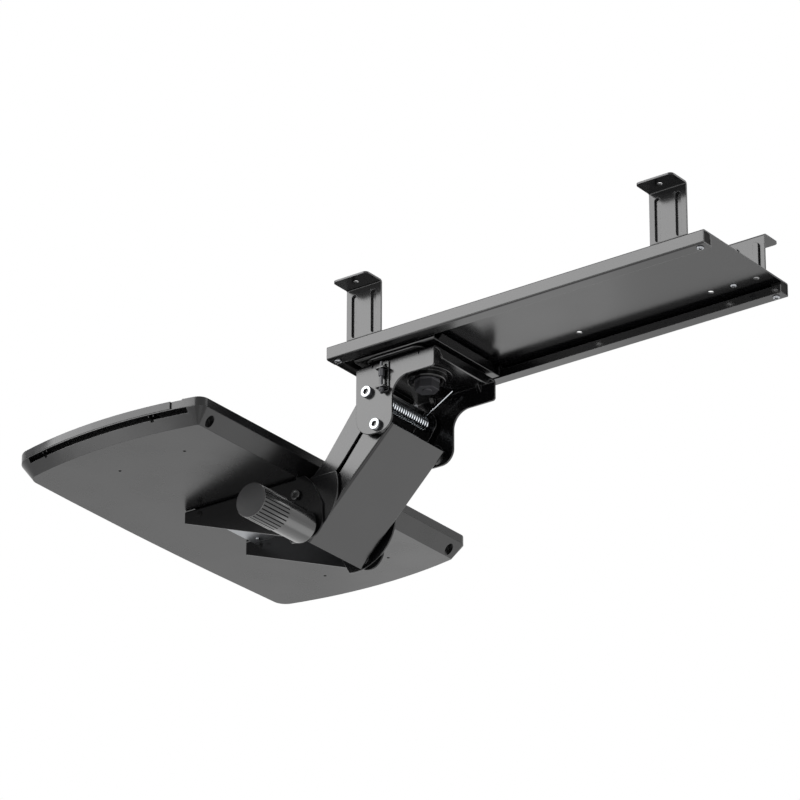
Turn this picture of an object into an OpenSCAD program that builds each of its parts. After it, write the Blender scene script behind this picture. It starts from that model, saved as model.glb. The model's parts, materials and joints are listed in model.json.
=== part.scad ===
// Under-desk keyboard tray on a sliding, swivelling, height and tilt adjusting arm.
// Frame: origin at the centre of the four desk bolts on top of the hangers, +Z up,
// +Y towards the back of the desk, +X to the right of the person who types.

/* [Track] */
// Length of the rail
track_len = 570; // [480:5:660]
// Width of the rail over its outer walls
track_w = 190; // [186:1:200]
// Height of the rail over its outer walls
track_h = 18.7; // [18.5:0.1:21]
// Thickness of the rail's sheet
track_t = 2; // [1.6:0.1:2.2]
// Width of each bottom lip
lip_w = 16; // [14:0.5:17]
// Height of the upturned edge of each lip
return_h = 11; // [9:0.5:11.5]
// Distance of the ceiling holes from the middle
ceiling_hole_x = 55.5; // [50:0.5:58]
// Radius of the spare holes in the ceiling
ceiling_hole_r = 3.8; // [2:0.1:4.2]
// Spacing from a hanger screw to the spare hole on either side of it
spare_hole_step = 33.5; // [30:0.5:36]

/* [Hangers] */
// Height of the desk face above the rail
hanger_h = 75; // [60:1:95]
// Length of a hanger along the rail
hanger_len = 54; // [50:1:60]
// Distance of each hanger's middle from the rail's end
hanger_inset = 54; // [50:1:60]
// Distance of the stem's outer face from the rail's outer wall
stem_inset = 6; // [4:0.5:9]
// Thickness of the hanger's sheet
hanger_t = 2.5; // [2:0.1:3]
// Reach of the top flange beyond the stem
flange_out = 31; // [27:0.5:36]
// Reach of the base flange towards the middle
base_in = 47; // [44:0.5:50]
// Radius of the hole for the desk screw
desk_hole_r = 3.25; // [2.5:0.05:4]
// Distance of the desk hole beyond the stem
desk_hole_out = 16; // [13:0.5:19]
// Width of a pressed rib
rib_w = 8; // [6:0.5:9]
// Distance of each rib from the hanger's middle
rib_off = 15.2; // [13:0.1:17]
// Depth of a pressed rib
rib_press = 1.2; // [0.8:0.1:1.6]

/* [End stops] */
// Length of an end stop along the rail
stop_len = 14; // [10:1:20]
// Distance of a stop screw from the rail's end
stop_screw_end = 11; // [8.5:0.5:11.5]
// Distance of a stop screw from the outer wall
stop_screw_side = 10; // [9:0.5:11]

/* [Carriage] */
// Distance from the rail's front end to the swivel axis, as shown
swivel_inset = 88; // [85:1:135]
// Length of the carriage plate along the rail
carriage_len = 125; // [110:1:130]
// Width of the lowered middle of the carriage
carriage_w = 144; // [136:1:148]
// Thickness of the carriage plate
carriage_t = 2.5; // [2:0.1:3]
// Length of a glide shoe
glide_len = 30; // [24:1:40]
// Radius of the swivel bolt
swivel_r = 6; // [5:0.25:7]
// Radius of the slip disc
disc_r = 40; // [34:1:44]
// Thickness of the slip disc
disc_t = 2.3; // [2:0.1:2.6]
// Width across the flats of the swivel nut
nut_flats = 27; // [20:1:28]
// Height of the swivel nut
nut_h = 13; // [10:0.1:13.5]
// Radius of the hub above the swivel nut
collar_r = 25; // [21:0.5:27]
// Height of that hub
collar_h = 9; // [6:0.1:10]
// Radius of the hub's flange under the mount
collar_flange_r = 33; // [29:0.5:35]
// Thickness of that flange
collar_flange_t = 1.8; // [1.2:0.1:2.4]

/* [Mount] */
// Width of the mount over its cheeks
mount_w = 134; // [132:1:140]
// Thickness of the mount's sheet
mount_t = 3; // [2.5:0.1:3.2]
// Reach of the cheeks in front of the swivel axis
mount_front = 62; // [60:0.5:66]
// Reach of the cheeks behind the swivel axis
mount_back = 59.5; // [54:0.5:62]
// Height of the stiffening lips at the front and back
mount_lip = 12.5; // [10:0.5:14]
// Height of the cheeks' back part
cheek_back_h = 28.6; // [26:0.2:34]
// Height of the cheeks' front part
cheek_h = 98; // [96:0.5:101]
// Width of the swivel plate over the mount
swivel_plate_w = 150; // [146:1:154]
// Length of the swivel plate
swivel_plate_l = 86; // [80:1:92]
// Thickness of the swivel plate
swivel_plate_t = 2.7; // [2.4:0.1:3]

/* [Pivots] */
// Distance of the upper pivot in front of the swivel axis
upper_fwd = 43; // [41:0.5:44]
// Depth of the upper pivot below the mount's top face
upper_drop = 39.4; // [37:0.1:42]
// Offset between the two pivots of the mount, front to back
pair_y = 13.5; // [12:0.5:15]
// Offset between the two pivots of the mount, in height
pair_z = 48; // [46:0.5:49]
// Length of both arms between their pivots
arm_len = 159; // [150:1:170]
// Angle of the arms below level, as shown
arm_angle = 44.5; // [40:0.5:46]
// Radius of the pivot pins
pin_r = 4; // [3.5:0.1:4.2]
// Radius of the rivet heads
rivet_r = 7.8; // [6.5:0.1:8.5]
// Height of the rivet heads
rivet_h = 5.6; // [3:0.1:6.5]
// Running clearance round a pin
run = 0.05; // [0.03:0.01:0.08]
// Clearance round the pin of the pivot at which the linkage is opened
open_clear = 0.5; // [0.3:0.05:0.8]
// Gap between plates that move past each other
side_gap = 0.4; // [0.3:0.05:0.5]

/* [Arms] */
// Width of the lower arm over its walls
arm_w = 113; // [108:1:114]
// Thickness of the lower arm's sheet
arm_t = 2.5; // [2:0.1:2.8]
// Distance of the cover face from the line of the pivots
cover_off = 10.5; // [10:0.1:12]
// Reach of the lower arm beyond its upper pivot
cover_top = 13; // [11:0.5:15]
// Reach of the lower arm beyond its lower pivot
cover_end = 12; // [10.5:0.5:13]
// Thickness of the upper arm's sheet
link_t = 2.2; // [2:0.1:2.4]

/* [Torsion spring] */
// Turns of the spring
spring_turns = 23; // [12:1:23]
// Length of the coil
spring_len = 106; // [100:1:106]
// Radius of the coil, to the middle of the wire
spring_r = 6.5; // [6.2:0.1:7]
// Radius of the wire
wire_r = 1.45; // [1.2:0.05:1.5]
// Length of the leg that bears on the upper arm
arm_leg = 32; // [22:1:32]

/* [Head] */
// Thickness of the head's sheet
head_t = 2.5; // [2:0.1:2.7]
// Radius of the round ears
ear_r = 63; // [61:0.5:65]
// Height of the ears above the tilt axis
ear_top = 20; // [18:0.5:20.5]
// Distance of the head's web in front of the tilt axis
head_web = 22; // [20:0.5:26]
// Thickness of the tray bracket's wings
wing_t = 2.5; // [2:0.1:3]
// Largest tilt of the front edge downwards
tilt_down = 12; // [8:1:12]
// Largest tilt of the front edge upwards
tilt_up = 5; // [2:1:6]
// Height of the wings at their front tip
wing_tip_h = 17.4; // [14:0.2:20]
// Reach of the wings in front of the tilt axis
wing_fwd = 181.5; // [150:0.5:190]
// Radius of the wings' lower corner
wing_corner_r = 22; // [20:0.5:23]

/* [Tilt knob] */
// Radius of the knob
knob_r = 23; // [20:0.5:26]
// Length of the ribbed grip
grip_len = 52; // [44:1:58]
// Length of the smooth barrel
barrel_len = 56; // [46:1:60]
// Number of ribs round the grip
knob_ribs = 42; // [30:1:48]
// Depth of the grooves between the ribs
groove_d = 1; // [0.6:0.1:1.4]

/* [Tray] */
// Width of the tray at its widest place
tray_w = 592; // [560:2:640]
// Depth of the tray, front to back
tray_d = 314; // [290:1:330]
// Height of the tray
tray_h = 31.6; // [30:0.2:34]
// Height of the flat bottom above the tilt axis
tray_lift = 24.4; // [24:0.1:27]
// Distance of the tray's back edge behind the tilt axis
tray_back = 16.5; // [12:0.5:17]
// Radius of the curved ends
end_r = 600; // [520:10:900]
// Distance of the widest place behind the tray's front edge
bulge_y = 171; // [150:1:190]
// Radius of the slightly bowed front edge
front_r = 6800; // [5000:100:9000]
// Radius of the tray's back corners
corner_r = 14; // [8:1:20]
// Radius of the tray's front corners
front_corner_r = 34; // [24:1:40]
// Height of the sloping edge of the underside
bevel_h = 19.6; // [17:0.2:21]
// Width of the sloping edge of the underside
bevel_w = 15; // [12:0.5:18]
// Thickness of the moulded walls
shell_t = 3; // [2.4:0.1:3.4]
// Height of the rim above the deck
rim_h = 3; // [2:0.2:3.6]
// Width of the rim round the deck
rim_w = 8; // [6:0.5:12]
// Height of the slot in each end
slot_h = 6; // [5:0.2:8]
// Depth of the slot in each end
slot_d = 14; // [10:0.5:16]
// Thickness of the plate between the wings
base_t = 2.5; // [2:0.1:2.8]

/* [Hidden] */
$fn = 64;
eps = 0.01;
bend_r = 2.6;
bend_in = 1.5;

// Heights of the rail
track_z = -hanger_h;
ceiling_z = track_z - track_t;
lip_z = track_z - track_h;
hanger_y = track_len / 2 - hanger_inset;
stem_x = track_w / 2 - stem_inset;
desk_x = stem_x + desk_hole_out;
return_x = track_w / 2 - lip_w;

// Heights of the carriage and mount, from the rail down
flange_gap = 1.5;
web_below = 2.1;
carriage_z = ceiling_z - flange_gap;
web_z = lip_z - web_below;
glide_gap = 0.3;
slip = 0.3;
nut_recess = 2;
plate_z = web_z - disc_t - slip;
mount_z = plate_z - swivel_plate_t;
collar_z = mount_z - mount_t;
nut_z = collar_z - collar_h + nut_recess - slip;
swivel_y = -track_len / 2 + swivel_inset;
carriage_front = 62;
carriage_y0 = swivel_y - carriage_front;
carriage_y1 = carriage_y0 + carriage_len;
flange_x = track_w / 2 - track_t - 2;

// Pivots: A and B on the mount, C and D on the head
ay = swivel_y - upper_fwd;
az = mount_z - upper_drop;
by = ay + pair_y;
bz = az - pair_z;
arm_y = -arm_len * cos(arm_angle);
arm_z = -arm_len * sin(arm_angle);
cy = ay + arm_y;
cz = az + arm_z;
dy = by + arm_y;
dz = bz + arm_z;
arm_turn = 180 + arm_angle;
pair_r = norm([pair_y, pair_z]);

// Faces of the plates, from the middle out
cheek_x = mount_w / 2;
wall_x = arm_w / 2;
link_in = wall_x + side_gap + 0.1;
link_out = link_in + link_t;
ear_in = link_out + side_gap;
ear_out = ear_in + head_t;
wing_in = ear_out + side_gap;
wing_out = wing_in + wing_t;
washer_t = 2;
knob_x0 = wing_out + slip + washer_t + slip;
knob_x1 = knob_x0 + barrel_len + grip_len;

// Levels of the tray
tray_z0 = cz + tray_lift;
tray_z1 = tray_z0 + tray_h;
deck_z = tray_z1 - rim_h;
shell_z1 = tray_z0 + bevel_h;
slot_z0 = shell_z1 - slot_h;
tray_y1 = cy + tray_back;
tray_y0 = tray_y1 - tray_d;
wing_y0 = cy - wing_fwd;
base_y1 = cy - 1.5;
base_short = 20;
seat = 0.1;

// A plate that stands across X, drawn in Y and Z, from x0 outwards by t
module side_plate(x0, t) {
    translate([x0, 0, 0])
        rotate([90, 0, 90])
            linear_extrude(t)
                children();
}

// A bar along X from x0 to x1 at a place in Y and Z
module rod(x0, x1, y, z, r, sides = 64) {
    translate([x0, y, z])
        rotate([0, 90, 0])
            cylinder(h = x1 - x0, r = r, $fn = sides);
}

// The same thing on both sides
module both_sides() {
    children();
    mirror([1, 0, 0]) children();
}

// A rectangle from corner to corner
module box2d(x0, y0, x1, y1) {
    translate([x0, y0]) square([x1 - x0, y1 - y0]);
}

// A rectangle with round corners, drawn with true arcs
module round2d(x0, y0, x1, y1, r) {
    box2d(x0 + r, y0, x1 - r, y1);
    box2d(x0, y0 + r, x1, y1 - r);
    for (x = [x0 + r, x1 - r], y = [y0 + r, y1 - r])
        translate([x, y]) circle(r);
}

// A block from corner to corner
module block(a, b) {
    translate(a) cube(b - a);
}

// A quarter of a bend in sheet of thickness t, round a centre, towards qx and qy
module bend2d(x, y, qx, qy, t) {
    translate([x, y])
        intersection() {
            difference() {
                circle(bend_in + t);
                circle(bend_in);
            }
            scale([qx, qy]) square(bend_in + t + 1);
        }
}

// Cross-section of a channel open downwards: outer half-width w, top at z, depth h
module channel2d(w, z, h, t) {
    r = bend_in + t;
    low = z - h - 2 * r;
    difference() {
        round2d(-w, low, w, z, r);
        round2d(-w + t, low - 2 * r, w - t, z - t, bend_in);
        box2d(-w - 1, low - 1, w + 1, z - h);
    }
}

// A frame whose first axis runs along an arm at rest, from its upper pivot
module along_arm(y, z) {
    translate([y, z])
        rotate(arm_turn)
            mirror([0, 1])
                children();
}

// Rail: a C channel with inward lips and upturned edges
module track_profile() {
    half = track_w / 2;
    difference() {
        round2d(-half, -track_h, half, 0, bend_r);
        round2d(-half + track_t, -track_h + track_t, half - track_t, -track_t, bend_r - track_t + eps);
        box2d(-half + lip_w, -track_h - 1, half - lip_w, -track_t - 1);
    }
    for (s = [-1, 1])
        translate([s * (half - lip_w - track_t / 2), -track_h + return_h / 2])
            square([track_t, return_h], center = true);
}

module track() {
    color("dimgray")
        difference() {
            translate([0, track_len / 2, track_z])
                rotate([90, 0, 0])
                    linear_extrude(track_len)
                        track_profile();
            for (x = [-1, 1]) {
                for (y = [-1, 1]) {
                    translate([x * ceiling_hole_x, y * hanger_y, ceiling_z - 1])
                        cylinder(h = track_t + 2, r = screw_r + 0.3);
                    for (k = [-1, 1])
                        translate([x * ceiling_hole_x, y * hanger_y + k * spare_hole_step, ceiling_z - 1])
                            cylinder(h = track_t + 2, r = ceiling_hole_r);
                }
                translate([x * ceiling_hole_x, 0, ceiling_z - 1])
                    cylinder(h = track_t + 2, r = ceiling_hole_r);
            }
            for (x = [-1, 1], y = [-1, 1])
                translate([x * stop_x, y * stop_screw_y, lip_z - 1])
                    cylinder(h = track_t + 2, r = stop_screw_r + 0.3);
        }
}

// Hangers: a stem with a flange outwards at the desk and a base inwards on the rail
screw_r = 2.5;
stop_screw_r = 1.9;
stop_x = track_w / 2 - stop_screw_side;
stop_screw_y = track_len / 2 - stop_screw_end;
rib_top = 11;
rib_low = 4;
flange_corner = 6;

module rib_slot() {
    z0 = track_z + rib_low;
    z1 = -rib_top;
    for (s = [-1, 1])
        round2d(s * rib_off - rib_w / 2, z0, s * rib_off + rib_w / 2, z1, rib_w / 2 - eps);
}

// Cross-section of a hanger: flange at the top, stem, and base on the rail
module hanger_profile() {
    t = hanger_t;
    r = bend_in + t;
    x0 = stem_x - t;
    box2d(x0 + r, -t, stem_x + flange_out, 0);
    bend2d(x0 + r, -r, -1, 1, t);
    box2d(x0, track_z + r, stem_x, -r);
    bend2d(stem_x - r, track_z + r, 1, -1, t);
    box2d(stem_x - base_in, track_z, stem_x - r, track_z + t);
}

// Plan of a hanger's flange and base, with round corners
module hanger_plan() {
    half = hanger_len / 2;
    round2d(stem_x - base_in, -half, stem_x + flange_out, half, flange_corner);
}

module hanger(x_side, y_side) {
    half = hanger_len / 2;
    inner = stem_x - hanger_t;
    scale([x_side, 1, 1])
        translate([0, y_side * hanger_y, 0])
            color("dimgray")
                difference() {
                    union() {
                        intersection() {
                            translate([0, half, 0])
                                rotate([90, 0, 0])
                                    linear_extrude(hanger_len) hanger_profile();
                            translate([0, 0, track_z])
                                linear_extrude(hanger_h) hanger_plan();
                        }
                        side_plate(inner - rib_press, rib_press + eps) rib_slot();
                    }
                    side_plate(stem_x - rib_press, rib_press + eps) rib_slot();
                    translate([desk_x, 0, -hanger_t - 1])
                        cylinder(h = hanger_t + 2, r = desk_hole_r);
                    translate([ceiling_hole_x, 0, track_z - 1])
                        cylinder(h = hanger_t + 2, r = screw_r + 0.3);
                }
}

module hanger_front_right() { hanger(1, -1); }
module hanger_front_left() { hanger(-1, -1); }
module hanger_back_right() { hanger(1, 1); }
module hanger_back_left() { hanger(-1, 1); }

// A screw with a low domed head below and its shank upwards
module pan_screw(r, head_r, head_h, len) {
    cylinder(h = len, r = r);
    rotate_extrude()
        intersection() {
            translate([0, -head_h]) square([head_r, head_h]);
            translate([0, head_r - head_h]) circle(head_r);
        }
}

module hex_nut(flats, h, bore) {
    difference() {
        cylinder(h = h, r = flats / sqrt(3), $fn = 6);
        translate([0, 0, -1]) cylinder(h = h + 2, r = bore);
    }
}

nut_t = 3.4;

module hanger_screws() {
    color("silver")
        for (x = [-1, 1], y = [-1, 1])
            translate([x * ceiling_hole_x, y * hanger_y, ceiling_z])
                pan_screw(screw_r, 2.2 * screw_r, 0.96 * screw_r, track_t + hanger_t + nut_t + 1);
}

module hanger_nuts() {
    color("silver")
        for (x = [-1, 1], y = [-1, 1])
            translate([x * ceiling_hole_x, y * hanger_y, track_z + hanger_t])
                hex_nut(8, nut_t, screw_r + run);
}

// End stops fill the rail's channel at each corner
module end_stop(x_side, y_side) {
    gap = 0.3;
    x0 = return_x + gap;
    x1 = track_w / 2 - track_t - gap;
    z0 = lip_z + track_t + gap / 2;
    z1 = ceiling_z - gap;
    y1 = track_len / 2 - 0.5;
    scale([x_side, y_side, 1])
        color("black")
            difference() {
                translate([0, y1, 0])
                    rotate([90, 0, 0])
                        linear_extrude(stop_len)
                            round2d(x0, z0, x1, z1, 1);
                translate([stop_x, stop_screw_y, z0 - 1])
                    cylinder(h = 3 * stop_screw_r + 2, r = stop_screw_r + run);
            }
}

module stop_front_right() { end_stop(1, -1); }
module stop_front_left() { end_stop(-1, -1); }
module stop_back_right() { end_stop(1, 1); }
module stop_back_left() { end_stop(-1, 1); }

module stop_screws() {
    color("silver")
        for (x = [-1, 1], y = [-1, 1])
            translate([x * stop_x, y * stop_screw_y, lip_z])
                pan_screw(stop_screw_r, 3 * stop_screw_r, 1.3 * stop_screw_r, track_t + 3 * stop_screw_r);
}

// Carriage: a pressed tray with side flanges over the rail's upturned edges
module carriage_profile() {
    half = carriage_w / 2;
    t = carriage_t;
    r = bend_in + t;
    box2d(-half + r, web_z, half - r, web_z + t);
    for (s = [-1, 1]) {
        bend2d(s * (half - r), web_z + r, s, -1, t);
        scale([s, 1]) {
            box2d(half - t, web_z + r, half, carriage_z - r);
            box2d(half - t + r, carriage_z - t, flange_x, carriage_z);
        }
        bend2d(s * (half - t + r), carriage_z - r, -s, 1, t);
    }
}

module carriage_plate() {
    color("dimgray")
        difference() {
            union() {
                translate([0, carriage_y1, 0])
                    rotate([90, 0, 0])
                        linear_extrude(carriage_len) carriage_profile();
                back_lip();
            }
            translate([0, swivel_y, web_z - 1])
                cylinder(h = carriage_t + 2, r = swivel_r + run);
        }
}

// The carriage's turned-up back edge, with sloping ends
module back_lip() {
    half = carriage_w / 2 - carriage_t - 6;
    top = carriage_z - carriage_t - 1;
    translate([0, carriage_y1, 0])
        rotate([90, 0, 0])
            linear_extrude(carriage_t)
                polygon([
                    [-half, web_z + 1], [half, web_z + 1], [half - 10, top], [-half + 10, top],
                ]);
}

// Glide shoes: nylon blocks that hold the flange between the ceiling and the lip
module glide(x_side, y_side) {
    x0 = return_x + glide_gap;
    x1 = track_w / 2 - track_t - glide_gap;
    z0 = lip_z + track_t + glide_gap / 2;
    z1 = ceiling_z - glide_gap;
    y0 = y_side > 0 ? carriage_y1 - glide_len - 4 : carriage_y0 + 4;
    cut = 0.1;
    color("whitesmoke")
        scale([x_side, 1, 1])
            difference() {
                translate([0, y0 + glide_len, 0])
                    rotate([90, 0, 0])
                        linear_extrude(glide_len)
                            round2d(x0, z0, x1, z1, 1);
                block(
                    [x0 - 1, y0 - 1, carriage_z - carriage_t - cut],
                    [flange_x + cut, y0 + glide_len + 1, carriage_z + cut]
                );
            }
}

module glide_front_right() { glide(1, -1); }
module glide_front_left() { glide(-1, -1); }
module glide_back_right() { glide(1, 1); }
module glide_back_left() { glide(-1, 1); }

module ring(z0, h, r, bore) {
    translate([0, swivel_y, z0])
        difference() {
            cylinder(h = h, r = r);
            translate([0, 0, -1]) cylinder(h = h + 2, r = bore);
        }
}

module slip_disc() {
    color("whitesmoke") ring(web_z - disc_t, disc_t, disc_r, swivel_r + run);
}

module swivel_bolt() {
    head_h = 5;
    color("silver")
        translate([0, swivel_y, 0]) {
            translate([0, 0, nut_z - nut_h - 1])
                cylinder(h = web_z + carriage_t - nut_z + nut_h + 1 + eps, r = swivel_r);
            translate([0, 0, web_z + carriage_t])
                cylinder(h = head_h, r = swivel_r * 1.9);
        }
}

module swivel_nut() {
    flange_h = 1.6;
    color("silver")
        translate([0, swivel_y, nut_z - nut_h])
            difference() {
                union() {
                    cylinder(h = nut_h, r = nut_flats / sqrt(3), $fn = 6);
                    translate([0, 0, nut_h - flange_h])
                        cylinder(h = flange_h, r = nut_flats / sqrt(3) + 1);
                }
                translate([0, 0, -1]) cylinder(h = nut_h + 2, r = swivel_r + run);
            }
}

// Swivel plate: turns with the mount and shows as a rim beside the cheeks
module swivel_plate() {
    color("dimgray")
        difference() {
            translate([0, swivel_y, plate_z - swivel_plate_t])
                linear_extrude(swivel_plate_t)
                    round2d(-swivel_plate_w / 2, -swivel_plate_l / 2, swivel_plate_w / 2,
                        swivel_plate_l / 2, 12);
            translate([0, swivel_y, plate_z - swivel_plate_t - 1])
                cylinder(h = swivel_plate_t + 2, r = swivel_r + run);
        }
}

rim_ease = 1.2;
nut_play = 5;

module swivel_collar() {
    color("dimgray")
        translate([0, swivel_y, collar_z - collar_h])
            difference() {
                rotate_extrude()
                    polygon([
                        [0, 0], [collar_r - rim_ease, 0], [collar_r, rim_ease],
                        [collar_r, collar_h - collar_flange_t],
                        [collar_flange_r - rim_ease / 2, collar_h - collar_flange_t],
                        [collar_flange_r, collar_h - collar_flange_t + rim_ease / 2],
                        [collar_flange_r, collar_h], [0, collar_h],
                    ]);
                translate([0, 0, -1]) cylinder(h = collar_h + 2, r = swivel_r + run);
                translate([0, 0, -1])
                    cylinder(h = nut_recess + 1, r = nut_flats / sqrt(3) + nut_play);
            }
}

// Cheek outline: a deep front lobe for the pivots and a shallow back part
module cheek_profile() {
    y0 = swivel_y - mount_front;
    y1 = swivel_y + mount_back;
    back_z = mount_z - cheek_back_h;
    low_z = mount_z - cheek_h;
    lobe_y = by + lobe_back;
    sweep_r = 24;
    front_round = 26;
    back_round = 19.5;
    difference() {
        union() {
            box2d(y0, back_z, y1 - corner, mount_z);
            box2d(y0, back_z + corner, y1, mount_z);
            translate([y1 - corner, back_z + corner]) circle(corner);
            box2d(y0, low_z + front_round, lobe_y, back_z + 1);
            box2d(y0 + front_round, low_z, lobe_y - back_round, low_z + front_round);
            box2d(lobe_y - back_round, low_z + back_round, lobe_y, low_z + front_round + 1);
            translate([y0 + front_round, low_z + front_round]) circle(front_round);
            translate([lobe_y - back_round, low_z + back_round]) circle(back_round);
            difference() {
                box2d(lobe_y - 1, back_z - sweep_r, lobe_y + sweep_r, back_z + 1);
                translate([lobe_y + sweep_r, back_z - sweep_r]) circle(sweep_r);
            }
        }
    }
}

// Stiffening darts pressed across the bends: legs and width inside, width outside
dart_x = 7;
dart_z = 10;
dart_w = 5;
dart_dent = 2;
dart_shift = 0.8;
dart_y = 36;

module dart(y, w, x0, z0) {
    translate([0, y + w / 2, 0])
        rotate([90, 0, 0])
            linear_extrude(w)
                polygon([[x0, z0], [x0 - dart_x, z0], [x0, z0 - dart_z]]);
}

module darts_inside() {
    for (s = [-1, 1])
        both_sides()
            dart(swivel_y + s * dart_y, dart_w, cheek_x - mount_t + eps, mount_z - mount_t + eps);
}

module darts_outside() {
    for (s = [-1, 1])
        both_sides()
            dart(swivel_y + s * dart_y, dart_dent, cheek_x + dart_shift, mount_z + dart_shift);
}

corner = 4;
lobe_back = 24;

module mount_bracket() {
    color("gray")
        difference() {
            union() {
                intersection() {
                    translate([0, swivel_y + mount_back, 0])
                        rotate([90, 0, 0])
                            linear_extrude(mount_front + mount_back)
                                channel2d(cheek_x, mount_z, cheek_h, mount_t);
                    side_plate(-cheek_x - 1, 2 * cheek_x + 2) cheek_profile();
                }
                for (s = [-1, 1])
                    mount_edge(s);
                darts_inside();
            }
            darts_outside();
            translate([0, swivel_y, mount_z - mount_t - 1])
                cylinder(h = mount_t + 2, r = swivel_r + run);
            for (p = [[ay, az], [by, bz]])
                rod(-cheek_x - 1, cheek_x + 1, p[0], p[1], pin_r + run);
        }
}

// Stiffening lip of the mount at its front (-1) or back (1)
module mount_edge(s) {
    lip_half = cheek_x - mount_t - 9;
    y_out = s > 0 ? swivel_y + mount_back : swivel_y - mount_front;
    y_in = y_out - s * mount_t;
    translate([0, max(y_in, y_out), 0])
        rotate([90, 0, 0])
            linear_extrude(mount_t)
                polygon([
                    [-lip_half, mount_z - mount_t + eps], [lip_half, mount_z - mount_t + eps],
                    [lip_half - 8, mount_z - mount_lip], [-lip_half + 8, mount_z - mount_lip],
                ]);
}

// Pivot pins, riveted over the cheeks on both sides
module riveted_pin(y, z) {
    rod(-cheek_x - rivet_h, cheek_x + rivet_h, y, z, pin_r);
    both_sides()
        difference() {
            rod(cheek_x, cheek_x + rivet_h, y, z, rivet_r);
            rod(cheek_x + rivet_h - 1.6, cheek_x + rivet_h + 1, y, z, 2, 6);
        }
}

module upper_pin() { color("silver") riveted_pin(ay, az); }
module lower_pin() { color("silver") riveted_pin(by, bz); }

module spacer_pair(x0, x1, y, z, r) {
    play = 0.15;
    both_sides()
        difference() {
            rod(x0 + play, x1 - play, y, z, r);
            rod(x0, x1, y, z, pin_r + run);
        }
}

module upper_spacers() {
    color("white") spacer_pair(link_out, cheek_x - mount_t, ay, az, 9);
}

module lower_spacers() {
    color("white") spacer_pair(wall_x, cheek_x - mount_t, by, bz, 9);
}

// Torsion spring: one wire, with a straight leg at each end
spring_sides = 6;
rings_per_turn = 8;
leg_up = 30;
leg_seat = 0.3;
coil_start = 90 + leg_up;
coil_end = arm_turn - 90;
leg_rise = mount_z - mount_t - leg_seat - wire_r - az - spring_r * sin(coil_start);
mount_leg = leg_rise / sin(leg_up);
coil_angle = 360 * spring_turns + coil_end - coil_start;
coil_rings = ceil(coil_angle / 360 * rings_per_turn);

function coil_point(a) =
    [spring_len * (a - coil_start) / coil_angle - spring_len / 2,
        ay + spring_r * cos(a), az + spring_r * sin(a)];

function leg_point(a, along) =
    coil_point(a) + along * [0, -sin(a), cos(a)];

wire = concat(
    [leg_point(coil_start, -mount_leg)],
    [for (i = [0:coil_rings]) coil_point(coil_start + coil_angle * i / coil_rings)],
    [leg_point(coil_start + coil_angle, arm_leg)]
);

function tangent(path, i) =
    let(a = path[max(i - 1, 0)], b = path[min(i + 1, len(path) - 1)])
    (b - a) / norm(b - a);

// Outward direction of a ring: away from the coil's axis, square to the wire
function ring_out(path, i) =
    let(t = tangent(path, i), c = [path[i][0], ay, az], r = path[i] - c, q = r - (r * t) * t)
    q / norm(q);

function ring_points(path, i, r) =
    let(t = tangent(path, i), u = ring_out(path, i), v = cross(t, u))
    [for (k = [0:spring_sides - 1])
        path[i] + r * (u * cos(360 * k / spring_sides) + v * sin(360 * k / spring_sides))];

module tube(path, r) {
    n = len(path);
    s = spring_sides;
    points = [for (i = [0:n - 1]) each ring_points(path, i, r)];
    walls = [for (i = [0:n - 2], k = [0:s - 1], h = [0, 1])
        let(a = i * s + k, b = i * s + (k + 1) % s)
        h == 0 ? [a, a + s, b] : [b, a + s, b + s]];
    start = [for (k = [1:s - 2]) [0, k, k + 1]];
    stop = [for (k = [1:s - 2]) [(n - 1) * s, (n - 1) * s + k + 1, (n - 1) * s + k]];
    polyhedron(points = points, faces = concat(walls, start, stop), convexity = 10);
}

// Least gap between points of the wire that lie half a turn or more apart
spring_gap = min([
    for (i = [0:len(wire) - 1], j = [i + 4:1:min(i + 12, len(wire) - 1)])
        norm(wire[i] - wire[j])
]) - 2 * wire_r;
echo(torsion_spring_least_gap_mm = spring_gap);

module torsion_spring() {
    color("lightcyan") tube(wire, wire_r);
}

// Height stop: a folded bracket on the right cheek with a bolt and nut
stop_y = swivel_y - 17;
stop_z1 = mount_z - 4;
stop_z0 = stop_z1 - 42;
stop_reach = 11;
tab_w = 15;
bolt_x = cheek_x + stop_reach / 2 + 1.2;

module stop_bracket() {
    t = 2;
    color("dimgray")
        difference() {
            union() {
                side_plate(cheek_x, t)
                    round2d(stop_y - tab_w / 2, stop_z0, stop_y + tab_w / 2, stop_z1, 2);
                for (z = [stop_z1 - 12, stop_z0 + 4])
                    translate([0, 0, z])
                        linear_extrude(t) {
                            box2d(cheek_x, stop_y - tab_w / 2, cheek_x + stop_reach - 3, stop_y + tab_w / 2);
                            round2d(
                                cheek_x, stop_y - tab_w / 2,
                                cheek_x + stop_reach, stop_y + tab_w / 2, 3
                            );
                        }
            }
            translate([bolt_x, stop_y, stop_z0 - 1])
                cylinder(h = 50, r = 2 + run);
        }
}

module stop_bolt() {
    color("silver") {
        translate([bolt_x, stop_y, stop_z0 - 2])
            cylinder(h = 42, r = 2);
        translate([bolt_x, stop_y, stop_z1 - 22])
            cylinder(h = 9.8, r = 4, $fn = 6);
        translate([bolt_x, stop_y, stop_z0])
            cylinder(h = 3.8, r = 4, $fn = 6);
    }
}

// Lower arm: a channel whose web is the flat cover below the linkage
module lower_arm_wall() {
    t1 = arm_len + cover_end;
    end_r2 = 13;
    translate([0, 0]) circle(15);
    translate([arm_len, 0]) circle(end_r2 - 1);
    polygon([
        [-cover_top, -cover_off], [t1, -cover_off], [t1, 0], [arm_len, end_r2 - 1.3],
        [arm_len - 85, 14], [22, 20], [6, 14], [-14, 5],
    ]);
}

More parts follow.
